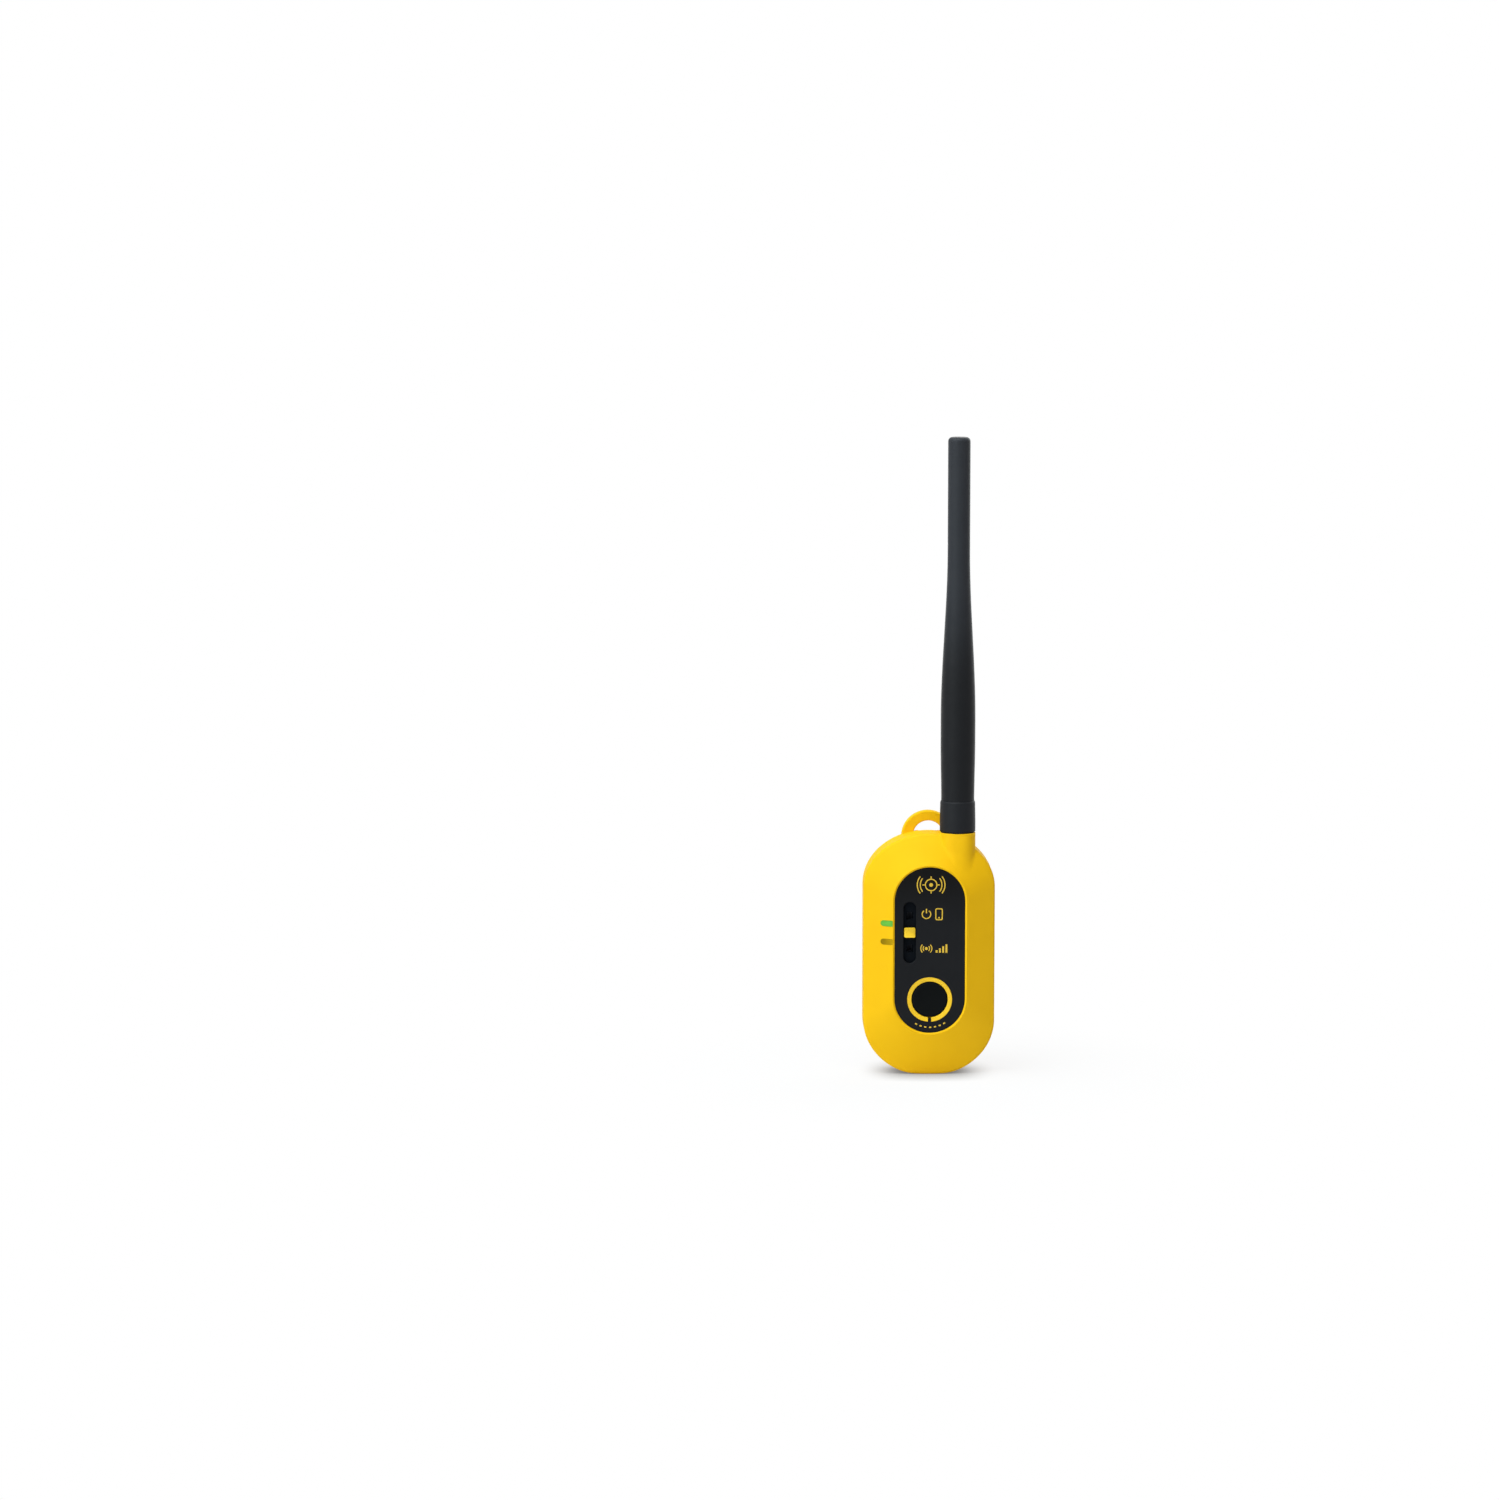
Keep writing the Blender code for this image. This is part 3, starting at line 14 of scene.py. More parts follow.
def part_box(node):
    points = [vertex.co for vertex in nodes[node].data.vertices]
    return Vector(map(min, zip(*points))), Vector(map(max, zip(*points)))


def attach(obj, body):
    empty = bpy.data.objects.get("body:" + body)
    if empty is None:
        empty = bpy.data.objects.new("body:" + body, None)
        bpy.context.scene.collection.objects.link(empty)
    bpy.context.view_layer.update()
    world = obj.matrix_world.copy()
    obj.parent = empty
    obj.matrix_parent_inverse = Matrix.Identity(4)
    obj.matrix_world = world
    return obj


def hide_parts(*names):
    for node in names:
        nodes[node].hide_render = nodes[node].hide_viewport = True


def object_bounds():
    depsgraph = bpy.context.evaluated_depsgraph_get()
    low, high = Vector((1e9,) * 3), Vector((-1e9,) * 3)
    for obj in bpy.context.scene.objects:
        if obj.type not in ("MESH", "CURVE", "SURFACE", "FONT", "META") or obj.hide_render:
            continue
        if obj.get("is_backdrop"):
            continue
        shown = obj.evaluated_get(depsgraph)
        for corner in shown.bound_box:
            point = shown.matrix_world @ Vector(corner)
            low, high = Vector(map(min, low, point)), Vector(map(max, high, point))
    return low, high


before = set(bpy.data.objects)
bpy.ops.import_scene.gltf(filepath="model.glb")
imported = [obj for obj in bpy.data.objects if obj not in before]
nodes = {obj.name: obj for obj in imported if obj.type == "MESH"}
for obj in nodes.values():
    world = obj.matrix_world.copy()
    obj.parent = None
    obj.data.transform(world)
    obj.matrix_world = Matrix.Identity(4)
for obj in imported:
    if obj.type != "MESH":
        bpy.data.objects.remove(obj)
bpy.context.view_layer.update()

MM = 0.001
scene = bpy.context.scene

# Sizes taken from the frame
front_low, front_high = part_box("front_shell")
_, rear_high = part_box("rear_shell")
panel_low, panel_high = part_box("control_panel")
ring_low, ring_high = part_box("button_ring")
button_low, button_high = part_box("function_button")
thumb_low, thumb_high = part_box("slider_thumb")
track_low, track_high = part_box("slider_track")
collar_low, collar_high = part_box("antenna_collar")
whip_low, whip_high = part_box("antenna_whip")
cover_low, cover_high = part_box("port_cover")
seal_low, seal_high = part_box("antenna_seal")
board_low, board_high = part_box("main_board")
amber_low, amber_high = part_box("led_lens_amber")

HALF_WIDTH = front_high.x
PARTING_Y = front_high.y
LIP_Y = front_low.y
NECK_TOP = front_high.z
BACK_Y = rear_high.y
PANEL_HALF = panel_high.x
PANEL_FRONT = panel_low.y
PANEL_BACK = panel_high.y
NECK_X = (collar_low.x + collar_high.x) / 2
NECK_Y = (collar_low.y + collar_high.y) / 2
NECK_PLACE = (NECK_X, NECK_Y)
BUTTON_Z = (button_low.z + button_high.z) / 2
BUTTON_PLACE = (0.0, BUTTON_Z)
SLOT_X = (thumb_low.x + thumb_high.x) / 2
SLOT_Z = (thumb_low.z + thumb_high.z) / 2

# Shape of the case
GAP = 0.3 * MM
OVERRUN = 2.0 * MM  # of a cutter past the face that it cuts
NECK_STAND = 0.4 * MM
BODY_HEIGHT = NECK_TOP - NECK_STAND
TOP_END = 21.5 * MM
BOTTOM_END = 23.0 * MM
FOOT_WIDTH = 13.5 * MM
FOOT_SOFTNESS = 1.0 * MM
WALL = 2.2 * MM
RIM_Y = -6.5 * MM
RIM_ROUND = 0.9 * MM
BACK_ROUND = 5.0 * MM
PARTING_EDGE = 0.12 * MM
SEAM = 0.06 * MM
PANEL_END = 13.6 * MM
LIP_LAND = 0.4 * MM
LIP_EDGE = 0.12 * MM
LIP_SLOPE = 0.75
RECESS_GAP = 0.06 * MM
FLOOR = 1.8 * MM
CAVITY_LIMIT = 0.97  # share of the flank
NECK_RADIUS = 7.1 * MM
NECK_BORE = 5.2 * MM
NECK_EDGE = 0.3 * MM
NECK_EDGE_SHARE = 0.3
NECK_SQUARENESS = 2.6  # with 2.4, 2.5 or 2.8 the cuts lose the neck's bore
NECK_BLEND = 2.2 * MM
BLEND_LEAST = 0.08 * MM
BLEND_NARROWING_LEFT = 14
BLEND_NARROWING_RIGHT = 5
BLEND_RISE = 1.8
BLEND_TOP_GAP = 0.1 * MM
BLEND_SINK = 0.02 * MM
BLEND_ROOT = 0.8  # millimetres
BLEND_ROOT_DROP = 1.0 * MM
SEAL_ROOM = 0.2 * MM
SEAL_SINK = 0.1 * MM
LOOP_DROP = 3.1 * MM
LOOP_OUTER = 10.7 * MM
LOOP_INNER = 6.0 * MM
LOOP_RAISE = 0.8 * MM
LOOP_SETBACK = 0.3 * MM
LOOP_DEPTH = 4.5 * MM
LOOP_EDGE = 0.45 * MM
SCOOP_DEPTH = 1.4 * MM
SCOOP_RADIUS = 9.0 * MM
SCOOP_LAND = 1.0 * MM
REAR_LAND = 0.5 * MM
FIELD_HALF = 15.0 * MM
FIELD_END = 8.0 * MM
FIELD_CORNER = 4.0 * MM
FIELD_DEPTH = 0.3 * MM

# Shape of the screws
SCREW_RADIUS = 1.0 * MM
SCREW_POINT = 0.5 * MM
HEAD_RADIUS = 1.9 * MM
CROSS_REACH = HEAD_RADIUS * 0.62
CROSS_HALF = 0.33 * MM
CROSS_DEPTH = 0.8 * MM
COUNTERBORE_DEPTH = 3.2 * MM
COUNTERBORE_EDGE = 0.3 * MM
BOSS_RADIUS = 3.0 * MM
PILOT_DEPTH = 3.2 * MM

# Shape of the controls
PANEL_EDGE = 0.25 * MM
SLOT_HALF = 2.5 * MM
SLOT_HALF_LENGTH = 12.3 * MM
SLOT_EDGE = 0.3 * MM
SLIDE_TRAVEL = 7.0 * MM
TRACK_FLANGE = 1.0 * MM
THUMB_CORNER = 0.5 * MM
THUMB_HOLLOW = 0.5 * MM
THUMB_EDGE = 0.3 * MM
THUMB_WALL = 1.0 * MM
THUMB_FACE = 1.2 * MM
STRIP_FRONT = 0.05 * MM  # behind the panel's seat
STRIP_BACK = 0.25 * MM
STRIP_CORNER = 0.3 * MM
SLIT_ROOM = 0.15 * MM
RING_OUTER = ring_high.x
RING_WIDTH = 1.7 * MM
RING_GAP = 1.35 * MM
RING_DISH = 0.25 * MM
RING_EDGE = 0.15 * MM
RING_ROOM = 0.12 * MM
TONGUE_ROOM = 0.1 * MM
BUTTON_LEDGE = 1.4 * MM
BUTTON_DISH = 0.4 * MM
BUTTON_RIM = 0.6 * MM
BUTTON_ROUND = 0.5 * MM
FLANGE_THICKNESS = 1.0 * MM
STEM_RADIUS = 1.5 * MM
LENS_SINK = 0.04 * MM
LENS_REACH = 0.12 * MM
LENS_GAP = 0.03 * MM
LENS_EDGE = 0.08 * MM
LENS_CORNER = 0.3 * MM

# Shape of the charging port's hole and flap
COVER_THICKNESS = 1.0 * MM
COVER_CORNER = 0.5 * MM
COVER_EDGE = 0.25 * MM
NAIL_NOTCH = 1.2 * MM
PORT_CORNER = 1.0 * MM
PLUG_HALF_HEIGHT = 4.9 * MM
PLUG_HALF_DEPTH = 2.0 * MM
PLUG_CORNER = 0.9 * MM
PLUG_TAPER = 0.3 * MM
PLUG_TAPER_LENGTH = 0.5 * MM
RIB_COUNT = 3
RIB_FIRST = 1.6  # millimetres below the flap's top
RIB_PITCH = 1.3  # millimetres
RIB_WIDTH = 0.6 * MM
RIB_STAND = 0.15 * MM
RIB_INSET = 1.2 * MM
RIB_ROOT = 0.3 * MM
RIB_SLACK = 0.02 * MM

# Shape of the antenna
COLLAR_HEIGHT = collar_high.z - collar_low.z
COLLAR_TOP = collar_high.z
COLLAR_OUTER = collar_high.x - NECK_X
COLLAR_BORE = 4.7 * MM
COLLAR_EDGE = 0.25 * MM
COLLAR_TOP_RADIUS = 6.95 * MM
COLLAR_ROUND = 0.75 * MM
COLLAR_SHOULDER = 0.9 * MM
COLLAR_THROAT = 3.1 * MM
COLLAR_THROAT_DEPTH = 7.0 * MM
BELLY_HEIGHT = 36.0 * MM
TAPER_START = 46.0 * MM
TAPER_END = 112.0 * MM
WHIP_BASE = 6.6 * MM
WHIP_BELLY = 6.9 * MM
WHIP_TIP = 4.45 * MM
WHIP_STUB = 2.8 * MM
TIP_ROUND = 1.6 * MM
TIP_FLAT = 0.4 * MM

# Fineness
END_STEPS = 36
TURN_STEPS = 96
POST_STEPS = 40
SCREW_STEPS = 48
EDGE_STEPS = 6
BLEND_STEPS = 7
WHIP_STEPS = 70
SHARP_ANGLE = math.radians(32.0)
WELD = 0.002 * MM
SLIVER = 0.001 * MM

# Worked out
LIP_HALF = PANEL_HALF + GAP + LIP_LAND
FLANK_RUN = HALF_WIDTH - LIP_HALF
FLANK_RISE = RIM_Y - LIP_Y
FLANK_SLANT = math.hypot(FLANK_RUN, FLANK_RISE)
SEAT_Y = PANEL_BACK + GAP
FLOOR_BACK = SEAT_Y + FLOOR
REAR_FRONT = PARTING_Y + GAP
REAR_FACE = PARTING_Y + SEAM
ON_FRONT = board_low.y - GAP
ON_BACK = board_high.y + GAP
RING_INNER = RING_OUTER - RING_WIDTH
BUTTON_RADIUS = button_high.x - BUTTON_LEDGE


# Outlines, as (x, z)
def pill(half_width, top, bottom, top_end, bottom_end, foot_half=0.0):
    """A straight-sided outline with round ends; a foot cuts the lower end off, softly."""
    step = math.pi / 2 / END_STEPS
    cut_off = bottom_end * (1 - math.sqrt(1 - (foot_half / half_width) ** 2))
    rest = (math.hypot(cut_off, FOOT_SOFTNESS) - cut_off) / 2
    low = bottom + bottom_end - cut_off
    high = top - top_end
    right = []
    for i in range(END_STEPS + 1):
        angle = (math.pi / 2 - step / 2) * (1 - i / END_STEPS)
        clear = low - bottom_end * math.sin(angle) - bottom
        if foot_half:
            clear = (clear + math.hypot(clear, FOOT_SOFTNESS)) / 2 - rest
        right.append((half_width * math.cos(angle), bottom + clear))
    for i in range(END_STEPS):
        angle = i * step
        right.append((half_width * math.cos(angle), high + top_end * math.sin(angle)))
    return right + [(0.0, top)] + [(-x, z) for x, z in reversed(right)]


def case_outline(inset):
    ends = TOP_END - inset, BOTTOM_END - inset
    return pill(HALF_WIDTH - inset, BODY_HEIGHT - inset, inset, *ends, FOOT_WIDTH / 2)


def panel_outline(grow):
    end = PANEL_END + grow
    return pill(PANEL_HALF + grow, panel_high.z + grow, panel_low.z - grow, end, end)


def between(first, second, share):
    return [(a + (c - a) * share, b + (d - b) * share) for (a, b), (c, d) in zip(first, second)]


def flank_outline(share):
    return between(case_outline(0.0), panel_outline(GAP + LIP_LAND), share)


def flank_y(share):
    return RIM_Y - FLANK_RISE * share


def slot_outline(grow):
    half, half_length = SLOT_HALF + grow, SLOT_HALF_LENGTH + grow
    outline = pill(half, half_length, -half_length, half, half)
    return [(SLOT_X + x, SLOT_Z + z) for x, z in outline]


def rounded_rectangle(low, high, radius, steps=6, grow=0.0):
    """Corners at low and high, moved out by grow, each rounded by a quarter circle."""
    left, bottom = low[0] - grow, low[1] - grow
    right, top = high[0] + grow, high[1] + grow
    corners = (
        (right - radius, bottom + radius, -90),
        (right - radius, top - radius, 0),
        (left + radius, top - radius, 90),
        (left + radius, bottom + radius, 180),
    )
    outline = []
    for x, z, start in corners:
        outline += circle(x, z, radius, steps, start, 90)
    return outline


def circle(x, z, radius, steps=32, start=0.0, sweep=360.0):
    """Points round a full circle, or along an arc with both its ends."""
    count = steps if sweep == 360.0 else steps + 1
    angles = [math.radians(start + sweep * i / steps) for i in range(count)]
    return [(x + radius * math.cos(a), z + radius * math.sin(a)) for a in angles]


def curve(t, start, corner, end):
    """A point on the bow from start to end that leans towards a corner."""
    return (1 - t) ** 2 * start + 2 * t * (1 - t) * corner + t * t * end


def bend(start, corner, end, steps):
    """Rings (outline, y) that round the corner between two others."""
    rings = []
    for i in range(steps + 1):
        t = i / steps
        first = between(start[0], corner[0], t)
        second = between(corner[0], end[0], t)
        rings.append((between(first, second, t), curve(t, start[1], corner[1], end[1])))
    return rings


def round_corners(profile, radius, steps):
    """A closed profile of (a, b) with every corner rounded by the same length."""
    made = []
    for i, (a, b) in enumerate(profile):
        ends = []
        for other in (profile[i - 1], profile[(i + 1) % len(profile)]):
            da, db = other[0] - a, other[1] - b
            share = min(radius / math.hypot(da, db), 0.5)
            ends.append((a + da * share, b + db * share))
        (p, q), (r, s) = ends
        for k in range(steps + 1):
            made.append((curve(k / steps, p, a, r), curve(k / steps, q, b, s)))
    return made


# Mesh making
def show(name, data):
    """Puts a mesh, a lamp or a camera into the scene."""
    made = bpy.data.objects.new(name, data)
    scene.collection.objects.link(made)
    return made


def write_mesh(shape, mesh):
    """Moves a shape into a mesh that is smooth but for its sharp edges."""
    shape.to_mesh(mesh)
    shape.free()
    mesh.shade_smooth()
    mesh.set_sharp_from_angle(angle=SHARP_ANGLE)


def make_object(name, shape):
    bmesh.ops.recalc_face_normals(shape, faces=shape.faces)
    mesh = bpy.data.meshes.new(name)
    write_mesh(shape, mesh)
    return show(name, mesh)


def bridge(shape, rows, ring=False):
    """Faces from each row of vertices to the next and, in a ring, from the last to the first."""
    following = rows[1:] + rows[:1] if ring else rows[1:]
    for near, far in zip(rows, following):
        for i in range(len(near)):
            after = (i + 1) % len(near)
            corners = (near[i], near[after], far[after], far[i])
            shape.faces.new(list(dict.fromkeys(corners)))


def loft(name, rings, sideways=False):
    """A solid through outlines that each lie at one depth, along Y or, sideways, along X."""
    shape = bmesh.new()
    rows = []
    for outline, depth in rings:
        points = [(depth, a, b) if sideways else (a, depth, b) for a, b in outline]
        rows.append([shape.verts.new(point) for point in points])
    shape.faces.new(rows[0])
    shape.faces.new(rows[-1])
    bridge(shape, rows)
    return make_object(name, shape)


def turned(name, profile, centre, along_y=False, ring=False, steps=TURN_STEPS, reach=None):
    """A profile of (radius, height) spun round an axis through centre, upright or along Y.

    A closed profile makes a ring, and reach gives the share of each radius at an angle.
    """
    shape = bmesh.new()

    def vertex(radius, height, angle):
        if reach is not None:
            radius *= reach(angle)
        a = centre[0] + radius * math.cos(angle)
        b = centre[1] + radius * math.sin(angle)
        return shape.verts.new((a, height, b) if along_y else (a, b, height))

    rows = []
    for radius, height in profile:
        if radius == 0.0:
            rows.append([vertex(0.0, height, 0.0)] * steps)
        else:
            rows.append([vertex(radius, height, 2 * math.pi * i / steps) for i in range(steps)])
    bridge(shape, rows, ring)
    return make_object(name, shape)


def block(name, low, high):
    shape = bmesh.new()
    bmesh.ops.create_cube(shape, size=1.0)
    size = [b - a for a, b in zip(low, high)]
    middle = [(a + b) / 2 for a, b in zip(low, high)]
    bmesh.ops.scale(shape, vec=size, verts=shape.verts)
    bmesh.ops.translate(shape, vec=middle, verts=shape.verts)
    return make_object(name, shape)


def prism(name, outline, depths, sideways=False):
    """A solid of one outline between two depths."""
    return loft(name, [(outline, depth) for depth in depths], sideways=sideways)


def post(name, radius, start, end, centre, along_y=True, steps=POST_STEPS):
    """A cylinder between two depths along Y, or between two heights."""
    profile = [(0.0, start), (radius, start), (radius, end), (0.0, end)]
    return turned(name, profile, centre, along_y, steps=steps)


def quarter(steps, first=0):
    """The sine and cosine of each angle in a right angle's steps."""
    angles = [math.pi / 2 * i / steps for i in range(first, steps + 1)]
    return [(math.sin(angle), math.cos(angle)) for angle in angles]


def rounded_side(radius, front, back, edge, way):
    """The profile of a round side along Y whose edges turn in (way -1) or flare out (way 1)."""
    turns = quarter(EDGE_STEPS)
    near = [(radius + way * edge * (1 - s), front + edge * (1 - c)) for s, c in turns]
    far = [(radius + way * edge * (1 - c), back - edge * (1 - s)) for s, c in turns]
    return near + far


def disc(name, radius, front, back, edge, centre):
    """A round plate along Y whose outer edges are rounded."""
    side = rounded_side(radius, front, back, edge, -1)
    return turned(name, [(0.0, front)] + side + [(0.0, back)], centre, along_y=True)


def flared_hole(name, radius, front, back, edge, centre):
    """A cutter along Y that also rounds the edges of the hole it makes."""
    profile = [(0.0, front - OVERRUN), (radius + edge, front - OVERRUN)]
    profile += rounded_side(radius, front, back, edge, 1)
    profile += [(radius + edge, back + OVERRUN), (0.0, back + OVERRUN)]
    return turned(name, profile, centre, along_y=True)


def combine(target, operation, *tools):
    for tool in tools:
        modifier = target.modifiers.new(operation, "BOOLEAN")
        modifier.operation = operation
        modifier.solver = "EXACT"
        modifier.object = tool
        tool.hide_render = True


def join(target, *tools):
    combine(target, "UNION", *tools)


def cut(target, *tools):
    combine(target, "DIFFERENCE", *tools)


def tools_of(piece):
    """The tools of a piece, with those that the tools themselves use."""
    found = [modifier.object for modifier in piece.modifiers if modifier.type == "BOOLEAN"]
    return found + [deeper for tool in found for deeper in tools_of(tool)]


def settle(target):
    """Applies a piece's modifiers, removes the tools that they used and closes small gaps."""
    tools = dict.fromkeys(tools_of(target))
    depsgraph = bpy.context.evaluated_depsgraph_get()
    mesh = bpy.data.meshes.new_from_object(target.evaluated_get(depsgraph))
    target.modifiers.clear()
    old = target.data
    target.data = mesh
    bpy.data.meshes.remove(old)
    for tool in tools:
        bpy.data.objects.remove(tool)
    shape = bmesh.new()
    shape.from_mesh(mesh)
    bmesh.ops.remove_doubles(shape, verts=shape.verts, dist=WELD)
    bmesh.ops.dissolve_degenerate(shape, edges=shape.edges, dist=SLIVER)
    bare = [edge for edge in shape.edges if not edge.link_faces]
    bmesh.ops.delete(shape, geom=bare, context="EDGES")
    gaps = [edge for edge in shape.edges if edge.is_boundary]
    filled = bmesh.ops.holes_fill(shape, edges=gaps, sides=0)["faces"]
    if filled:
        bmesh.ops.recalc_face_normals(shape, faces=shape.faces)
    write_mesh(shape, mesh)


def dress(piece, body, slot, *replaced, finish=None):
    """Gives a piece its body and the finish named by finish, or else by slot, and hides the CAD nodes it
    stands for.
    """
    piece.data.materials.append(finishes[finish or slot])
    normals = piece.modifiers.new("Even normals", "WEIGHTED_NORMAL")
    normals.keep_sharp = True
    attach(piece, body)
    if replaced:
        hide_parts(*replaced)


# Materials
WHITE = (1.0, 1.0, 1.0, 1.0)
SHEEN_ROUGHNESS = 0.25
BUMP_STRENGTH = 0.5
GLOSS_PATCH = 6  # times the grain
NOISE_LOW = 0.3
NOISE_HIGH = 0.7
NODE_PREFIX = "ShaderNode"
finishes = {}


def feed(tree, node, inputs):
    """Gives each input of a node a value or links it to another node's output."""
    for name, value in inputs.items():
        if isinstance(value, bpy.types.NodeSocket):
            tree.links.new(value, node.inputs[name])
        else:
            node.inputs[name].default_value = value


def add(tree, kind, inputs=None, **settings):
    """A shader node of a kind such as TexNoise, with its settings and what its inputs are fed."""
    made = tree.nodes.new(NODE_PREFIX + kind)
    for name, value in settings.items():
        setattr(made, name, value)
    feed(tree, made, inputs or {})
    return made


def noise(tree, place, size, detail=3.0, stretch=None):
    """Fractal noise whose features are about size metres across, pulled out along an axis."""
    if stretch is not None:
        place = add(tree, "Mapping", {"Vector": place, "Scale": stretch}).outputs["Vector"]
    inputs = {"Vector": place, "Scale": 1.0 / size, "Detail": detail}
    return add(tree, "TexNoise", inputs).outputs["Fac"]


def ramp(tree, source, first, second, low=0.35, high=0.65):
    """One colour where the source is low, turning to a second where it is high."""
    made = add(tree, "ValToRGB", {"Fac": source})
    for stop, position, colour in zip(made.color_ramp.elements, (low, high), (first, second)):
        stop.position = position
        stop.color = (*colour, 1.0)
    return made.outputs["Color"]


def mapped(tree, source, start, end, low=0.0, high=1.0, easing="LINEAR"):
    """A value that goes from low to high while its source goes from start to end."""
    inputs = {"Value": source, "From Min": start, "From Max": end, "To Min": low, "To Max": high}
    return add(tree, "MapRange", inputs, interpolation_type=easing).outputs["Result"]


def faded(tree, place, tone, axis, start, end, share):
    """Multiplies a colour by share at start, easing to its full value at end along an axis."""
    split = add(tree, "SeparateXYZ", {"Vector": place})
    along = mapped(tree, split.outputs[axis], start, end, easing="SMOOTHSTEP")
    inputs = {"Factor": along, "A": (share, share, share, 1.0), "B": WHITE}
    level = add(tree, "Mix", inputs, data_type="RGBA").outputs["Result"]
    inputs = {"Factor": 1.0, "A": tone, "B": level}
    mix = add(tree, "Mix", inputs, data_type="RGBA", blend_type="MULTIPLY")
    return mix.outputs["Result"]


def moulded(
    name, colour, shade, roughness, grain=0.35 * MM, depth=0.008 * MM, mottle=14.0 * MM,
    metallic=0.0, specular=0.5, stretch=None, fade=None, sheen=0.0,
):
    """A moulded or cast surface: mottled colour, uneven gloss and a fine grain."""
    material = bpy.data.materials.new(name)
    material.use_nodes = True
    finishes[name] = material
    tree = material.node_tree
    place = add(tree, "TexCoord").outputs["Object"]
    tone = ramp(tree, noise(tree, place, mottle), colour, shade)
    if fade is not None:
        tone = faded(tree, place, tone, *fade)
    patches = noise(tree, place, GLOSS_PATCH * grain, 4.0, stretch)
    grains = noise(tree, place, grain, 2.0, stretch)
    bumps = {"Strength": BUMP_STRENGTH, "Distance": depth, "Height": grains}
    inputs = {
        "Base Color": tone,
        "Metallic": metallic,
        "Roughness": mapped(tree, patches, NOISE_LOW, NOISE_HIGH, *roughness),
        "Specular IOR Level": specular,
        "Sheen Weight": sheen,
        "Sheen Roughness": SHEEN_ROUGHNESS,
        "Normal": add(tree, "Bump", bumps).outputs["Normal"],
    }
    feed(tree, tree.nodes["Principled BSDF"], inputs)


YELLOW = (0.865, 0.505, 0.006)
YELLOW_DEEP = (0.845, 0.49, 0.005)
# Where a colour fades: the axis, the dark end, the end at full colour and the share left when dark
# Painted shade: the panel's black darkens towards the top of the panel
PANEL_PAINTED_SHADE = ("Z", panel_high.z, panel_high.z - 26.0 * MM, 0.1)
# The whip's rubber is darker towards its foot
WHIP_FADE = ("Z", whip_high.z - 100.0 * MM, whip_high.z - 55.0 * MM, 0.3)
# Painted shade: the amber lens darkens towards its outer, round end, where its window is shaded
AMBER_PAINTED_SHADE = ("X", amber_low.x, amber_high.x, 0.6)

# Finishes of the pieces made here
for name in ("shell_yellow", "back_yellow"):
    moulded(name, YELLOW, YELLOW_DEEP, (0.54, 0.62), specular=0.08)
moulded("trim_yellow", (0.88, 0.56, 0.02), (0.85, 0.53, 0.018), (0.36, 0.44), specular=0.25)
moulded("thumb_yellow", (0.86, 0.57, 0.025), (0.82, 0.53, 0.02), (0.42, 0.52), specular=0.25)
moulded("print_yellow", (0.72, 0.48, 0.05), (0.66, 0.43, 0.04), (0.45, 0.55), grain=0.15 * MM, specular=0.2)
# panel_black carries painted shade, darker towards the top of the panel
moulded(
    "panel_black", (0.0050, 0.0058, 0.0074), (0.0065, 0.0073, 0.0089), (0.46, 0.56),
    depth=0.012 * MM, specular=0.12, fade=PANEL_PAINTED_SHADE,
)
moulded("track_black", (0.0042, 0.0058, 0.0084), (0.0050, 0.0066, 0.0094), (0.6, 0.7), specular=0.02)
moulded("button_black", (0.0018, 0.0026, 0.0028), (0.0028, 0.0036, 0.0038), (0.5, 0.6), specular=0.06)
moulded(
    "rubber_black", (0.0215, 0.0245, 0.0300), (0.0245, 0.0275, 0.0330), (0.46, 0.58),
    grain=0.5 * MM, depth=0.015 * MM, specular=0.13, fade=WHIP_FADE, sheen=0.5,
)
moulded("collar_black", (0.0075, 0.0088, 0.0112), (0.0095, 0.0108, 0.0132), (0.44, 0.54), specular=0.15)
moulded("cover_rubber", (0.018, 0.019, 0.021), (0.023, 0.024, 0.026), (0.6, 0.72))
moulded("green_lens", (0.095, 0.40, 0.040), (0.14, 0.46, 0.05), (0.3, 0.4), mottle=3.0 * MM, specular=0.15)
# amber_lens carries painted shade, darker towards its outer end
moulded(
    "amber_lens", (0.40, 0.25, 0.002), (0.48, 0.31, 0.003), (0.3, 0.4),
    mottle=3.0 * MM, specular=0.06, fade=AMBER_PAINTED_SHADE,
)
moulded("screw_steel", (0.36, 0.36, 0.37), (0.30, 0.30, 0.31), (0.28, 0.42), metallic=1.0)

# Finishes of other CAD nodes
moulded("carriage_black", (0.0044, 0.0060, 0.0086), (0.0052, 0.0068, 0.0096), (0.6, 0.7), specular=0.02)
moulded("switch_black", (0.018, 0.028, 0.046), (0.021, 0.031, 0.050), (0.45, 0.6), specular=0.3)
moulded("seal_rubber", (0.020, 0.020, 0.022), (0.027, 0.027, 0.029), (0.65, 0.78))
moulded("led_white", (0.74, 0.74, 0.70), (0.68, 0.68, 0.62), (0.35, 0.45))
moulded("board_green", (0.008, 0.085, 0.028), (0.012, 0.11, 0.036), (0.35, 0.5), mottle=3.0 * MM)
moulded("shield_metal", (0.60, 0.60, 0.62), (0.55, 0.55, 0.57), (0.25, 0.4), metallic=1.0, stretch=(1, 1, 12))
moulded("radio_metal", (0.55, 0.55, 0.57), (0.50, 0.50, 0.52), (0.28, 0.42), metallic=1.0, stretch=(12, 1, 1))
moulded("patch_ceramic", (0.72, 0.68, 0.58), (0.66, 0.61, 0.50), (0.5, 0.65))
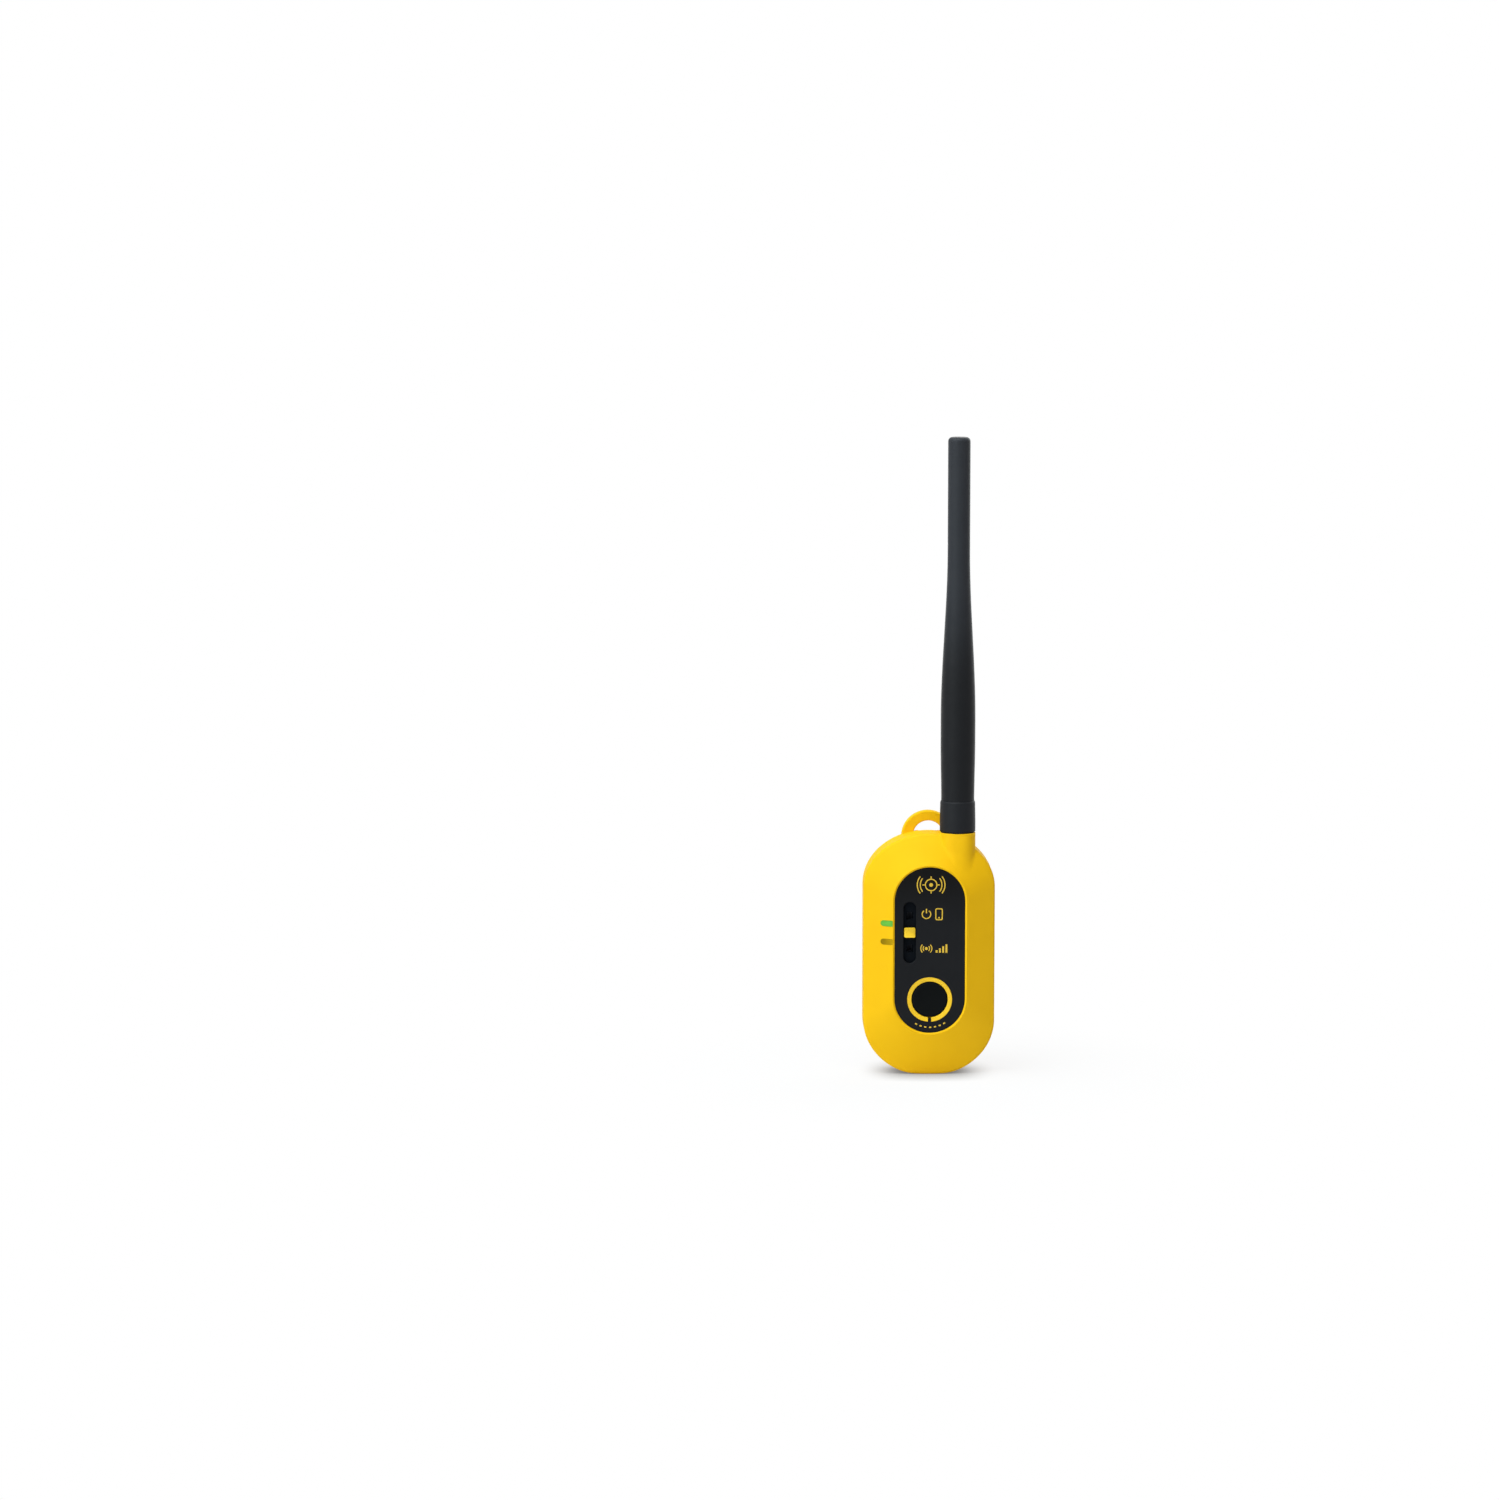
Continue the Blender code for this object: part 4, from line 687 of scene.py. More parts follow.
moulded("battery_foil", (0.52, 0.53, 0.55), (0.46, 0.47, 0.49), (0.3, 0.48), metallic=0.6, mottle=5.0 * MM)
moulded("pad_foam", (0.05, 0.05, 0.05), (0.07, 0.07, 0.07), (0.85, 0.95), depth=0.1 * MM)
moulded("lead_red", (0.50, 0.02, 0.02), (0.42, 0.016, 0.016), (0.42, 0.55))
moulded("lead_black", (0.018, 0.018, 0.018), (0.024, 0.024, 0.024), (0.42, 0.55))
moulded("connector_white", (0.78, 0.76, 0.70), (0.72, 0.70, 0.63), (0.45, 0.55))
moulded("lever_metal", (0.58, 0.58, 0.60), (0.52, 0.52, 0.54), (0.3, 0.42), metallic=1.0)
moulded("brass", (0.72, 0.52, 0.18), (0.66, 0.46, 0.14), (0.24, 0.38), metallic=1.0)
moulded("plug_nickel", (0.62, 0.60, 0.56), (0.56, 0.54, 0.50), (0.24, 0.36), metallic=1.0)
moulded("port_steel", (0.60, 0.60, 0.61), (0.54, 0.54, 0.55), (0.24, 0.36), metallic=1.0)

for node in nodes.values():
    for holder in node.material_slots:
        holder.material = finishes[holder.material.name.split(".")[0]]


# Front shell
def front_outside():
    """Rings from the parting plane over the rim and the flank, over the lip, down to the seat."""
    rim = flank_outline(0.0)
    share = RIM_ROUND / FLANK_SLANT
    last = 1 - LIP_EDGE / FLANK_SLANT
    rings = bend(
        (case_outline(PARTING_EDGE), PARTING_Y),
        (rim, PARTING_Y),
        (rim, PARTING_Y - PARTING_EDGE),
        3,
    )
    rings += bend((rim, RIM_Y + RIM_ROUND), (rim, RIM_Y), (flank_outline(share), flank_y(share)), 10)
    flank_steps = 10
    for i in range(1, flank_steps):
        part = share + (last - share) * i / flank_steps
        rings.append((flank_outline(part), flank_y(part)))
    rings += bend(
        (flank_outline(last), flank_y(last)),
        (flank_outline(1.0), LIP_Y),
        (panel_outline(GAP + LIP_LAND - LIP_EDGE), LIP_Y + LIP_EDGE * LIP_SLOPE),
        3,
    )
    lip_run = GAP + LIP_LAND - RECESS_GAP
    rings.append((panel_outline(RECESS_GAP), LIP_Y + lip_run * LIP_SLOPE))
    rings.append((panel_outline(RECESS_GAP), SEAT_Y))
    return rings


def front_inside(depth, end_y, start_y):
    """Rings of the hollow that leaves a wall of this depth behind the side and the flank."""
    along = depth * FLANK_SLANT / FLANK_RUN
    near = depth / FLANK_RUN
    far = min((flank_y(0.0) + along - end_y) / FLANK_RISE, CAVITY_LIMIT)
    return [
        (flank_outline(near), start_y),
        (flank_outline(near), flank_y(near) + along),
        (flank_outline(far), end_y),
    ]


def neck_reach(angle):
    """The neck's reach as a share of its radius: flatter than a circle at the front."""
    side, front = abs(math.cos(angle)), -math.sin(angle)
    if front <= 0.0:
        return 1.0
    return (side**NECK_SQUARENESS + front**NECK_SQUARENESS) ** (-1 / NECK_SQUARENESS)


def neck_blend(form):
    """A hollow rounding where the neck stands on the case, widest at the front."""
    tree = BVHTree.FromObject(form, bpy.context.evaluated_depsgraph_get())
    shape = bmesh.new()
    rows = []

    def height(x, y):
        place, normal, _, _ = tree.ray_cast(Vector((x, y, 1.0)), Vector((0.0, 0.0, -1.0)))
        return place.z, normal

    for i in range(TURN_STEPS):
        angle = 2 * math.pi * i / TURN_STEPS
        out = Vector((math.cos(angle), math.sin(angle), 0.0))
        front = (1 - out.y) / 2
        narrowing = BLEND_NARROWING_LEFT if out.x < 0.0 else BLEND_NARROWING_RIGHT
        size = BLEND_LEAST + (NECK_BLEND - BLEND_LEAST) * front**narrowing
        foot = Vector((NECK_X, NECK_Y, 0.0)) + out * NECK_RADIUS * neck_reach(angle)
        foot.z, _ = height(foot.x, foot.y)
        up = min(BLEND_RISE * size, NECK_TOP - NECK_EDGE - BLEND_TOP_GAP - foot.z)
        top = foot + Vector((0.0, 0.0, up)) - out * BLEND_SINK
        low = foot + out * size
        low.z, normal = height(low.x, low.y)
        low -= normal * BLEND_SINK
        row = []
        for k in range(BLEND_STEPS + 1):
            row.append(curve(k / BLEND_STEPS, top, foot, low))
        row.append(foot - out * BLEND_ROOT * MM - Vector((0.0, 0.0, BLEND_ROOT_DROP)))
        rows.append([shape.verts.new(point) for point in row])
    bridge(shape, rows, ring=True)
    return make_object("neck_blend", shape)


def window_outline(low, high, grow):
    """A light window: round at its outer end and nearly square at its inner end."""
    radius = (high.z - low.z) / 2 + grow
    middle = (low.z + high.z) / 2
    inner = high.x + LENS_REACH + grow - LENS_CORNER
    outline = circle(low.x + (high.z - low.z) / 2, middle, radius, 16, 90, 180)
    outline += circle(inner, middle - radius + LENS_CORNER, LENS_CORNER, 4, -90, 90)
    outline += circle(inner, middle + radius - LENS_CORNER, LENS_CORNER, 4, 0, 90)
    return outline


screw_places = []
for number in range(1, 5):
    low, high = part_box(f"case_screw_{number}")
    screw_places.append(((low.x + high.x) / 2, (low.z + high.z) / 2))

front_shell = loft("front_shell_skin", front_outside())
neck_ease = NECK_EDGE * NECK_EDGE_SHARE
neck = turned(
    "neck",
    [
        (0.0, board_high.z - WALL),
        (NECK_RADIUS, board_high.z - WALL),
        (NECK_RADIUS, NECK_TOP - NECK_EDGE),
        (NECK_RADIUS - neck_ease, NECK_TOP - neck_ease),
        (NECK_RADIUS - NECK_EDGE, NECK_TOP),
        (0.0, NECK_TOP),
    ],
    NECK_PLACE,
    reach=neck_reach,
)
join(front_shell, neck, neck_blend(front_shell))
cut(front_shell, loft("front_cavity", front_inside(WALL, FLOOR_BACK, PARTING_Y + OVERRUN)))
front_core = loft(
    "front_core", front_inside(WALL / 2, LIP_Y + WALL / 2 * FLANK_SLANT / FLANK_RUN, PARTING_Y)
)
for place in screw_places:
    boss = post("front_boss", BOSS_RADIUS, LIP_Y, ON_FRONT, place)
    combine(boss, "INTERSECT", front_core)
    join(front_shell, boss)
for place in screw_places:
    pilot = post("pilot", SCREW_RADIUS + GAP, ON_FRONT - PILOT_DEPTH, ON_FRONT + OVERRUN, place)
    cut(front_shell, pilot)
bore_top = NECK_TOP + OVERRUN
seal_middle = (NECK_BORE + NECK_RADIUS) / 2
seal_half = (seal_high.z - seal_low.z) / 2 + SEAL_ROOM
seal_floor = seal_low.z - SEAL_SINK
cut(
    front_shell,
    post("neck_hole", NECK_BORE, board_high.z, bore_top, NECK_PLACE, False, TURN_STEPS),
    turned(
        "seal_groove",
        [
            (seal_middle + seal_half, bore_top),
            (seal_middle + seal_half, seal_floor),
            (seal_middle - seal_half, seal_floor),
            (seal_middle - seal_half, bore_top),
        ],
        NECK_PLACE,
        ring=True,
    ),
    post("button_hole", BUTTON_RADIUS + GAP, LIP_Y, FLOOR_BACK + OVERRUN, BUTTON_PLACE),
    block(
        "track_hole",
        (track_low.x + TRACK_FLANGE - GAP, PANEL_FRONT, track_low.z + TRACK_FLANGE - GAP),
        (track_high.x - TRACK_FLANGE + GAP, FLOOR_BACK + OVERRUN, track_high.z - TRACK_FLANGE + GAP),
    ),
)
cover_y = (cover_low.y + cover_high.y) / 2
cover_outer = cover_high.x
cover_inner = cover_outer - COVER_THICKNESS
port_low, port_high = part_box("charge_port")
port_z = (port_low.z + port_high.z) / 2


def plug_outline(grow, corner):
    """The outline, as (y, z), of the plug behind the port's flap and of the hole for it."""
    low = (cover_y - PLUG_HALF_DEPTH, port_z - PLUG_HALF_HEIGHT)
    high = (cover_y + PLUG_HALF_DEPTH, port_z + PLUG_HALF_HEIGHT)
    return rounded_rectangle(low, high, corner, grow=grow)


pocket_outline = rounded_rectangle(
    (cover_low.y - GAP, cover_low.z - 2 * GAP),
    (cover_high.y + GAP, cover_high.z + GAP),
    COVER_CORNER,
)
outside = HALF_WIDTH + OVERRUN
cut(
    front_shell,
    prism("cover_pocket", pocket_outline, (cover_inner - GAP, outside), True),
    prism("port_hole", plug_outline(GAP, PORT_CORNER), (HALF_WIDTH - WALL - OVERRUN, outside), True),
    disc(
        "nail_notch",
        NAIL_NOTCH,
        cover_y - (cover_high.y - cover_low.y) / 4,
        cover_y + (cover_high.y - cover_low.y) / 4,
        NAIL_NOTCH / 2,
        (HALF_WIDTH + NAIL_NOTCH / 2, cover_high.z + GAP),
    ),
)
for colour in ("green", "amber"):
    low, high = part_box(f"led_lens_{colour}")
    window = window_outline(low, high, LENS_GAP)
    cut(front_shell, prism(f"window_{colour}", window, (LIP_Y - 2 * OVERRUN, RIM_Y)))
    lens = prism(f"light_window_{colour}", window_outline(low, high, 0.0), (LIP_Y - OVERRUN, high.y))
    lens_form = loft("lens_form", [(outline, y + LENS_SINK) for outline, y in front_outside()[:-2]])
    combine(lens, "INTERSECT", lens_form)
    settle(lens)
    soft_edge = lens.modifiers.new("Soft edge", "BEVEL")
    soft_edge.width = LENS_EDGE
    soft_edge.segments = 2
    dress(lens, "case", f"{colour}_lens", f"led_lens_{colour}")
settle(front_shell)
dress(front_shell, "case", "shell_yellow", "front_shell")


# Rear shell with the lanyard loop
def back_outside(inset, start_y, end_y, rounded, steps):
    """Rings from a straight side round to the flat back."""
    rings = [(case_outline(inset), start_y)]
    for rise, run in quarter(steps):
        rings.append((case_outline(inset + rounded * (1 - run)), end_y - rounded * (1 - rise)))
    return rings


rear_edge = bend(
    (case_outline(PARTING_EDGE), REAR_FACE),
    (case_outline(0.0), REAR_FACE),
    (case_outline(0.0), REAR_FACE + PARTING_EDGE),
    3,
)
rear_shell = loft(
    "rear_shell_skin",
    rear_edge + back_outside(0.0, REAR_FRONT + REAR_LAND, BACK_Y, BACK_ROUND, 12),
)
loop_front = REAR_FRONT + SCOOP_LAND + LOOP_SETBACK
loop_back = loop_front + LOOP_DEPTH
loop_z = BODY_HEIGHT - LOOP_DROP
loop = disc("loop", LOOP_OUTER, loop_front, loop_back, LOOP_EDGE, (0.0, loop_z))
loop_hole = flared_hole(
    "loop_hole", LOOP_INNER, loop_front, loop_back, LOOP_EDGE, (0.0, loop_z + LOOP_RAISE)
)
cut(loop, loop_hole)
scoop = post(
    "scoop",
    SCOOP_RADIUS,
    REAR_FRONT + SCOOP_LAND,
    BACK_Y + OVERRUN,
    (0.0, BODY_HEIGHT - SCOOP_DEPTH + SCOOP_RADIUS),
    steps=TURN_STEPS,
)
cut(rear_shell, scoop)
join(rear_shell, loop)
rear_hollow = back_outside(WALL, REAR_FRONT - OVERRUN, BACK_Y - WALL, BACK_ROUND - WALL, 6)
cut(rear_shell, loft("rear_cavity", rear_hollow))
for place in screw_places:
    join(rear_shell, post("rear_boss", BOSS_RADIUS, ON_BACK, BACK_Y - WALL / 2, place))
shank_hole = SCREW_RADIUS + GAP
head_hole = HEAD_RADIUS + GAP
for place in screw_places:
    screw_hole = turned(
        "screw_hole",
        [
            (0.0, ON_BACK - OVERRUN),
            (shank_hole, ON_BACK - OVERRUN),
            (shank_hole, BACK_Y - COUNTERBORE_DEPTH),
            (head_hole, BACK_Y - COUNTERBORE_DEPTH),
            (head_hole, BACK_Y - COUNTERBORE_EDGE),
            (head_hole + COUNTERBORE_EDGE, BACK_Y),
            (head_hole + COUNTERBORE_EDGE, BACK_Y + OVERRUN),
            (0.0, BACK_Y + OVERRUN),
        ],
        place,
        along_y=True,
        steps=SCREW_STEPS,
    )
    cut(rear_shell, screw_hole)


def field_outline(grow):
    """The bare sunk field between the screws."""
    low = (-FIELD_HALF, min(z for _, z in screw_places) + FIELD_END)
    high = (FIELD_HALF, max(z for _, z in screw_places) - FIELD_END)
    return rounded_rectangle(low, high, FIELD_CORNER + grow, 10, grow)


back_field = loft(
    "back_field",
    [
        (field_outline(FIELD_DEPTH), BACK_Y + OVERRUN),
        (field_outline(FIELD_DEPTH), BACK_Y),
        (field_outline(0.0), BACK_Y - FIELD_DEPTH),
    ],
)
cut(rear_shell, back_field)
settle(rear_shell)
dress(rear_shell, "case", "back_yellow", "rear_shell")

# Screws, with a low domed head and a cross recess
for number, place in enumerate(screw_places, start=1):
    low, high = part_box(f"case_screw_{number}")
    head_under = BACK_Y - COUNTERBORE_DEPTH + GAP
    screw = turned(
        f"screw_{number}",
        [
            (0.0, high.y),
            (HEAD_RADIUS * 0.6, high.y),
            (HEAD_RADIUS * 0.85, high.y - 0.12 * MM),
            (HEAD_RADIUS * 0.97, high.y - 0.35 * MM),
            (HEAD_RADIUS, high.y - 0.7 * MM),
            (HEAD_RADIUS, head_under),
            (SCREW_RADIUS, head_under),
            (SCREW_RADIUS, low.y + SCREW_POINT),
            (SCREW_RADIUS / 2, low.y),
            (0.0, low.y),
        ],
        place,
        along_y=True,
        steps=SCREW_STEPS,
    )
    for across, along in ((CROSS_REACH, CROSS_HALF), (CROSS_HALF, CROSS_REACH)):
        cross = block(
            "cross",
            (place[0] - across, high.y - CROSS_DEPTH, place[1] - along),
            (place[0] + across, high.y + OVERRUN, place[1] + along),
        )
        cut(screw, cross)
    settle(screw)
    dress(screw, "case", "screw_steel", f"case_screw_{number}")

# Control panel
panel = loft(
    "panel_plate",
    [(panel_outline(0.0), PANEL_BACK)]
    + bend(
        (panel_outline(0.0), PANEL_FRONT + PANEL_EDGE),
        (panel_outline(0.0), PANEL_FRONT),
        (panel_outline(-PANEL_EDGE), PANEL_FRONT),
        5,
    ),
)
ring_hole = post(
    "ring_hole", RING_OUTER + RING_ROOM, PANEL_FRONT - OVERRUN, PANEL_BACK + OVERRUN, BUTTON_PLACE
)
slot_hole = loft(
    "slot_hole",
    [(slot_outline(SLOT_EDGE), PANEL_FRONT - OVERRUN)]
    + bend(
        (slot_outline(SLOT_EDGE), PANEL_FRONT),
        (slot_outline(0.0), PANEL_FRONT),
        (slot_outline(0.0), PANEL_FRONT + SLOT_EDGE),
        4,
    )
    + [(slot_outline(0.0), PANEL_BACK + OVERRUN)],
)
tongue = block(
    "tongue",
    (-RING_GAP / 2 + TONGUE_ROOM, PANEL_FRONT - 2 * OVERRUN, BUTTON_Z - RING_OUTER - OVERRUN),
    (RING_GAP / 2 - TONGUE_ROOM, PANEL_BACK + 2 * OVERRUN, BUTTON_Z - RING_INNER - GAP),
)
cut(ring_hole, tongue)
cut(panel, ring_hole, slot_hole)
settle(panel)
dress(panel, "case", "panel_black", "control_panel")

# Button ring and function button
ring_profile = [
    (RING_INNER, ring_low.y + RING_DISH),
    (RING_OUTER, ring_low.y),
    (RING_OUTER, PANEL_BACK),
    (RING_INNER, PANEL_BACK),
]
ring_profile = round_corners(ring_profile, RING_EDGE, 3)
ring = turned("ring_trim", ring_profile, BUTTON_PLACE, along_y=True, ring=True)
ring_notch = block(
    "ring_notch",
    (-RING_GAP / 2, PANEL_FRONT - OVERRUN, BUTTON_Z - RING_OUTER - OVERRUN),
    (RING_GAP / 2, PANEL_BACK + OVERRUN, BUTTON_Z - RING_INNER / 2),
)
cut(ring, ring_notch)
settle(ring)
dress(ring, "case", "trim_yellow", "button_ring")

cap_face = button_low.y
flange_radius = button_high.x
flange_front = FLOOR_BACK + GAP
flange_back = flange_front + FLANGE_THICKNESS
dish_radius = BUTTON_RADIUS - BUTTON_RIM
dish_steps = 8
cap_profile = []
for i in range(dish_steps + 1):
    share = i / dish_steps
    cap_profile.append((dish_radius * share, cap_face + BUTTON_DISH * (1 - share**2)))
for rise, run in quarter(5, first=1):
    radius = dish_radius + (BUTTON_RADIUS - dish_radius) * rise
    cap_profile.append((radius, cap_face + BUTTON_ROUND * (1 - run)))
cap_profile += [
    (BUTTON_RADIUS, flange_front),
    (flange_radius, flange_front),
    (flange_radius, flange_back),
    (STEM_RADIUS, flange_back),
    (STEM_RADIUS, button_high.y),
    (0.0, button_high.y),
]
button = turned("function_cap", cap_profile, BUTTON_PLACE, along_y=True)
dress(button, "button", "button_black", "function_button")


# Slide control
def thumb_profile(inset):
    """Its section as (y, z): a face hollowed for the fingertip."""
    low, high = thumb_low.z + inset, thumb_high.z - inset
    front = thumb_low.y + inset
    steps = 8
    profile = [(thumb_high.y, high), (thumb_high.y, low)]
    for i in range(steps + 1):
        across = 2 * i / steps - 1
        profile.append((front + THUMB_HOLLOW * (1 - across**2), low + (high - low) * i / steps))
    return round_corners(profile, THUMB_EDGE, 4)


thumb_rings = []
for rise, run in quarter(4):
    section = thumb_profile(THUMB_CORNER * (1 - rise))
    thumb_rings.append((section, thumb_low.x + THUMB_CORNER * (1 - run)))
mirrored = [(outline, 2 * SLOT_X - x) for outline, x in reversed(thumb_rings)]
thumb = loft("slide_thumb", thumb_rings + mirrored, sideways=True)
post_half = (thumb_high.x - thumb_low.x) / 2 - THUMB_WALL
post_half_height = (thumb_high.z - thumb_low.z) / 2 - THUMB_WALL
thumb_hollow = block(
    "thumb_hollow",
    (SLOT_X - post_half - GAP, thumb_low.y + THUMB_FACE, SLOT_Z - post_half_height - GAP),
    (SLOT_X + post_half + GAP, thumb_high.y + OVERRUN, SLOT_Z + post_half_height + GAP),
)
cut(thumb, thumb_hollow)
settle(thumb)
dress(thumb, "slider", "thumb_yellow", "slider_thumb")

# Dust strip in the slot, with a slit for the post of the thumb
_, carriage_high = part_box("slider_carriage")
strip_half = carriage_high.x - SLOT_X + GAP / 2
strip_outline = rounded_rectangle(
    (SLOT_X - strip_half, SLOT_Z - SLOT_HALF_LENGTH),
    (SLOT_X + strip_half, SLOT_Z + SLOT_HALF_LENGTH),
    STRIP_CORNER,
)
strip = prism("slot_strip", strip_outline, (SEAT_Y + STRIP_FRONT, SEAT_Y + STRIP_BACK))
slit_half = post_half + SLIT_ROOM
slit_half_length = SLIDE_TRAVEL + post_half_height + SLIT_ROOM
strip_slit = block(
    "strip_slit",
    (SLOT_X - slit_half, SEAT_Y - OVERRUN, SLOT_Z - slit_half_length),
    (SLOT_X + slit_half, SEAT_Y + OVERRUN, SLOT_Z + slit_half_length),
)
cut(strip, strip_slit)
settle(strip)
dress(strip, "case", "track_black")


# Antenna
def whip_radius(z):
    """The whip swells to its belly, then tapers to its tip."""
    height = z - NECK_TOP
    if height < BELLY_HEIGHT:
        t = (z - COLLAR_TOP) / (NECK_TOP + BELLY_HEIGHT - COLLAR_TOP)
        return WHIP_BASE + (WHIP_BELLY - WHIP_BASE) * t * t * (3 - 2 * t)
    t = min(max((height - TAPER_START) / (TAPER_END - TAPER_START), 0.0), 1.0)
    return WHIP_BELLY + (WHIP_TIP - WHIP_BELLY) * t * t * (3 - 2 * t)


collar_profile = [
    (COLLAR_BORE, collar_low.z),
    (COLLAR_OUTER - COLLAR_EDGE, collar_low.z),
    (COLLAR_OUTER, collar_low.z + COLLAR_EDGE),
    (COLLAR_OUTER, collar_low.z + COLLAR_HEIGHT / 3),
]
for rise, run in quarter(8):
    radius = COLLAR_TOP_RADIUS - COLLAR_ROUND * (1 - run)
    collar_profile.append((radius, COLLAR_TOP - COLLAR_SHOULDER * (1 - rise)))
collar_profile += [
    (COLLAR_THROAT, COLLAR_TOP),
    (COLLAR_THROAT, COLLAR_TOP - COLLAR_THROAT_DEPTH),
    (COLLAR_BORE, COLLAR_TOP - COLLAR_THROAT_DEPTH),
]
collar = turned("antenna_grip", collar_profile, NECK_PLACE, ring=True)
dress(collar, "antenna", "collar_black", "antenna_collar")

tip = whip_high.z
whip_profile = [(0.0, tip), (WHIP_TIP - TIP_ROUND - TIP_FLAT, tip)]
for rise, run in quarter(8):
    whip_profile.append((WHIP_TIP - TIP_ROUND * (1 - rise), tip - TIP_ROUND * (1 - run)))
whip_start = NECK_TOP + TAPER_END
for i in range(WHIP_STEPS + 1):
    z = whip_start + (COLLAR_TOP - whip_start) * i / WHIP_STEPS
    whip_profile.append((whip_radius(z), z))
whip_profile += [(WHIP_STUB, COLLAR_TOP), (WHIP_STUB, whip_low.z), (0.0, whip_low.z)]
whip = turned("antenna_rod", whip_profile, NECK_PLACE)
dress(whip, "antenna", "rubber_black", "antenna_whip")


# Port cover
def cover_outline(inset):
    low, high = (cover_low.y, cover_low.z), (cover_high.y, cover_high.z)
    return rounded_rectangle(low, high, COVER_CORNER, grow=-inset)


cover = loft(
    "port_flap",
    [(cover_outline(0.0), cover_inner)]
    + bend(
        (cover_outline(0.0), cover_outer - COVER_EDGE),
        (cover_outline(0.0), cover_outer),
        (cover_outline(COVER_EDGE), cover_outer),
        5,
    ),
    sideways=True,
)
flap_plug = loft(
    "flap_plug",
    [
        (plug_outline(-PLUG_TAPER, PLUG_CORNER), cover_low.x),
        (plug_outline(0.0, PLUG_CORNER), cover_low.x + PLUG_TAPER_LENGTH),
        (plug_outline(0.0, PLUG_CORNER), (cover_inner + cover_outer) / 2),
    ],
    sideways=True,
)
join(cover, flap_plug)
rib_levels = ((0.0, cover_outer - RIB_ROOT), (0.0, cover_outer), (-RIB_STAND, cover_outer + RIB_STAND))
for number in range(RIB_COUNT):
    rib_z = cover_high.z - (RIB_FIRST + RIB_PITCH * number) * MM
    low = (cover_low.y + RIB_INSET, rib_z - RIB_WIDTH / 2)
    high = (cover_high.y - RIB_INSET, rib_z + RIB_WIDTH / 2)
    rib_rings = []
    for grow, x in rib_levels:
        corner = RIB_WIDTH / 2 + grow - RIB_SLACK
        rib_rings.append((rounded_rectangle(low, high, corner, grow=grow), x))
    join(cover, loft("flap_rib", rib_rings, sideways=True))
settle(cover)
dress(cover, "cover", "cover_rubber", "port_cover")

# Printed pictograms on the panel
marks = bmesh.new()
MARK_FRONT = PANEL_FRONT - 0.03 * MM
MARK_BACK = PANEL_FRONT + 0.05 * MM


def mark_strip(outer, inner, closed):
    """A flat printed band between two lines of points."""
    (front_out, front_in), (back_out, back_in) = [
        [[marks.verts.new((x, y, z)) for x, z in line] for line in (outer, inner)]
        for y in (MARK_FRONT, MARK_BACK)
    ]
    count = len(outer)
    for i in range(count if closed else count - 1):
        after = (i + 1) % count
        marks.faces.new((front_out[i], front_out[after], front_in[after], front_in[i]))
        marks.faces.new((back_out[i], back_in[i], back_in[after], back_out[after]))
        marks.faces.new((front_out[i], back_out[i], back_out[after], front_out[after]))
        marks.faces.new((front_in[i], front_in[after], back_in[after], back_in[i]))
    if not closed:
        for end in (0, count - 1):
            marks.faces.new((front_out[end], front_in[end], back_in[end], back_out[end]))


def mark_arc(x, z, radius, width, start=0.0, sweep=360.0):
    outer = circle(x, z, radius + width / 2, 40, start, sweep)
    inner = circle(x, z, radius - width / 2, 40, start, sweep)
    mark_strip(outer, inner, sweep == 360.0)


def mark_bar(x, z, width, height):
    ends = x - width / 2, x + width / 2
    lines = [[(end, level) for end in ends] for level in (z + height / 2, z - height / 2)]
    mark_strip(*lines, False)


def mark_dot(x, z, radius):
    points = circle(x, z, radius)
    rows = [[marks.verts.new((a, y, b)) for a, b in points] for y in (MARK_FRONT, MARK_BACK)]
    for row in rows:
        marks.faces.new(row)
    bridge(marks, rows)


LINE = 0.42 * MM
TICK_OUT = 3.0 * MM
TICK_LENGTH = 0.9 * MM
WAVE_SPREAD = 76
RADIO_SPREAD = 90
SIGN_X = -3.3 * MM
DASH_COUNT = 7
DASH_RADIUS = 11.2 * MM
DASH_WIDTH = 0.55 * MM

# A target with waves
emblem = (0.4 * MM, panel_high.z - 7.0 * MM)
mark_arc(*emblem, 2.3 * MM, LINE)
mark_dot(*emblem, 0.75 * MM)
for side in (-1, 1):
    mark_bar(emblem[0] + side * TICK_OUT, emblem[1], TICK_LENGTH, LINE)
    mark_bar(emblem[0], emblem[1] + side * TICK_OUT, LINE, TICK_LENGTH)
    for radius in (4.3 * MM, 5.5 * MM):
        mark_arc(*emblem, radius, LINE, 90 - side * 90 - WAVE_SPREAD / 2, WAVE_SPREAD)

# A power sign and a telephone
sign_z = SLOT_Z + 7.4 * MM
power_x = SIGN_X + 1.9 * MM
mark_arc(power_x, sign_z, 1.7 * MM, LINE, 125, 290)
mark_bar(power_x, sign_z + 1.3 * MM, LINE, 1.8 * MM)
phone_low = (SIGN_X + 5.4 * MM, sign_z - 2.4 * MM)
phone_high = (SIGN_X + 8.4 * MM, sign_z + 2.4 * MM)
mark_strip(
    rounded_rectangle(phone_low, phone_high, 0.7 * MM),
    rounded_rectangle(phone_low, phone_high, 0.4 * MM, grow=-LINE),
    True,
)
mark_dot(SIGN_X + 6.9 * MM, sign_z - 1.4 * MM, 0.35 * MM)

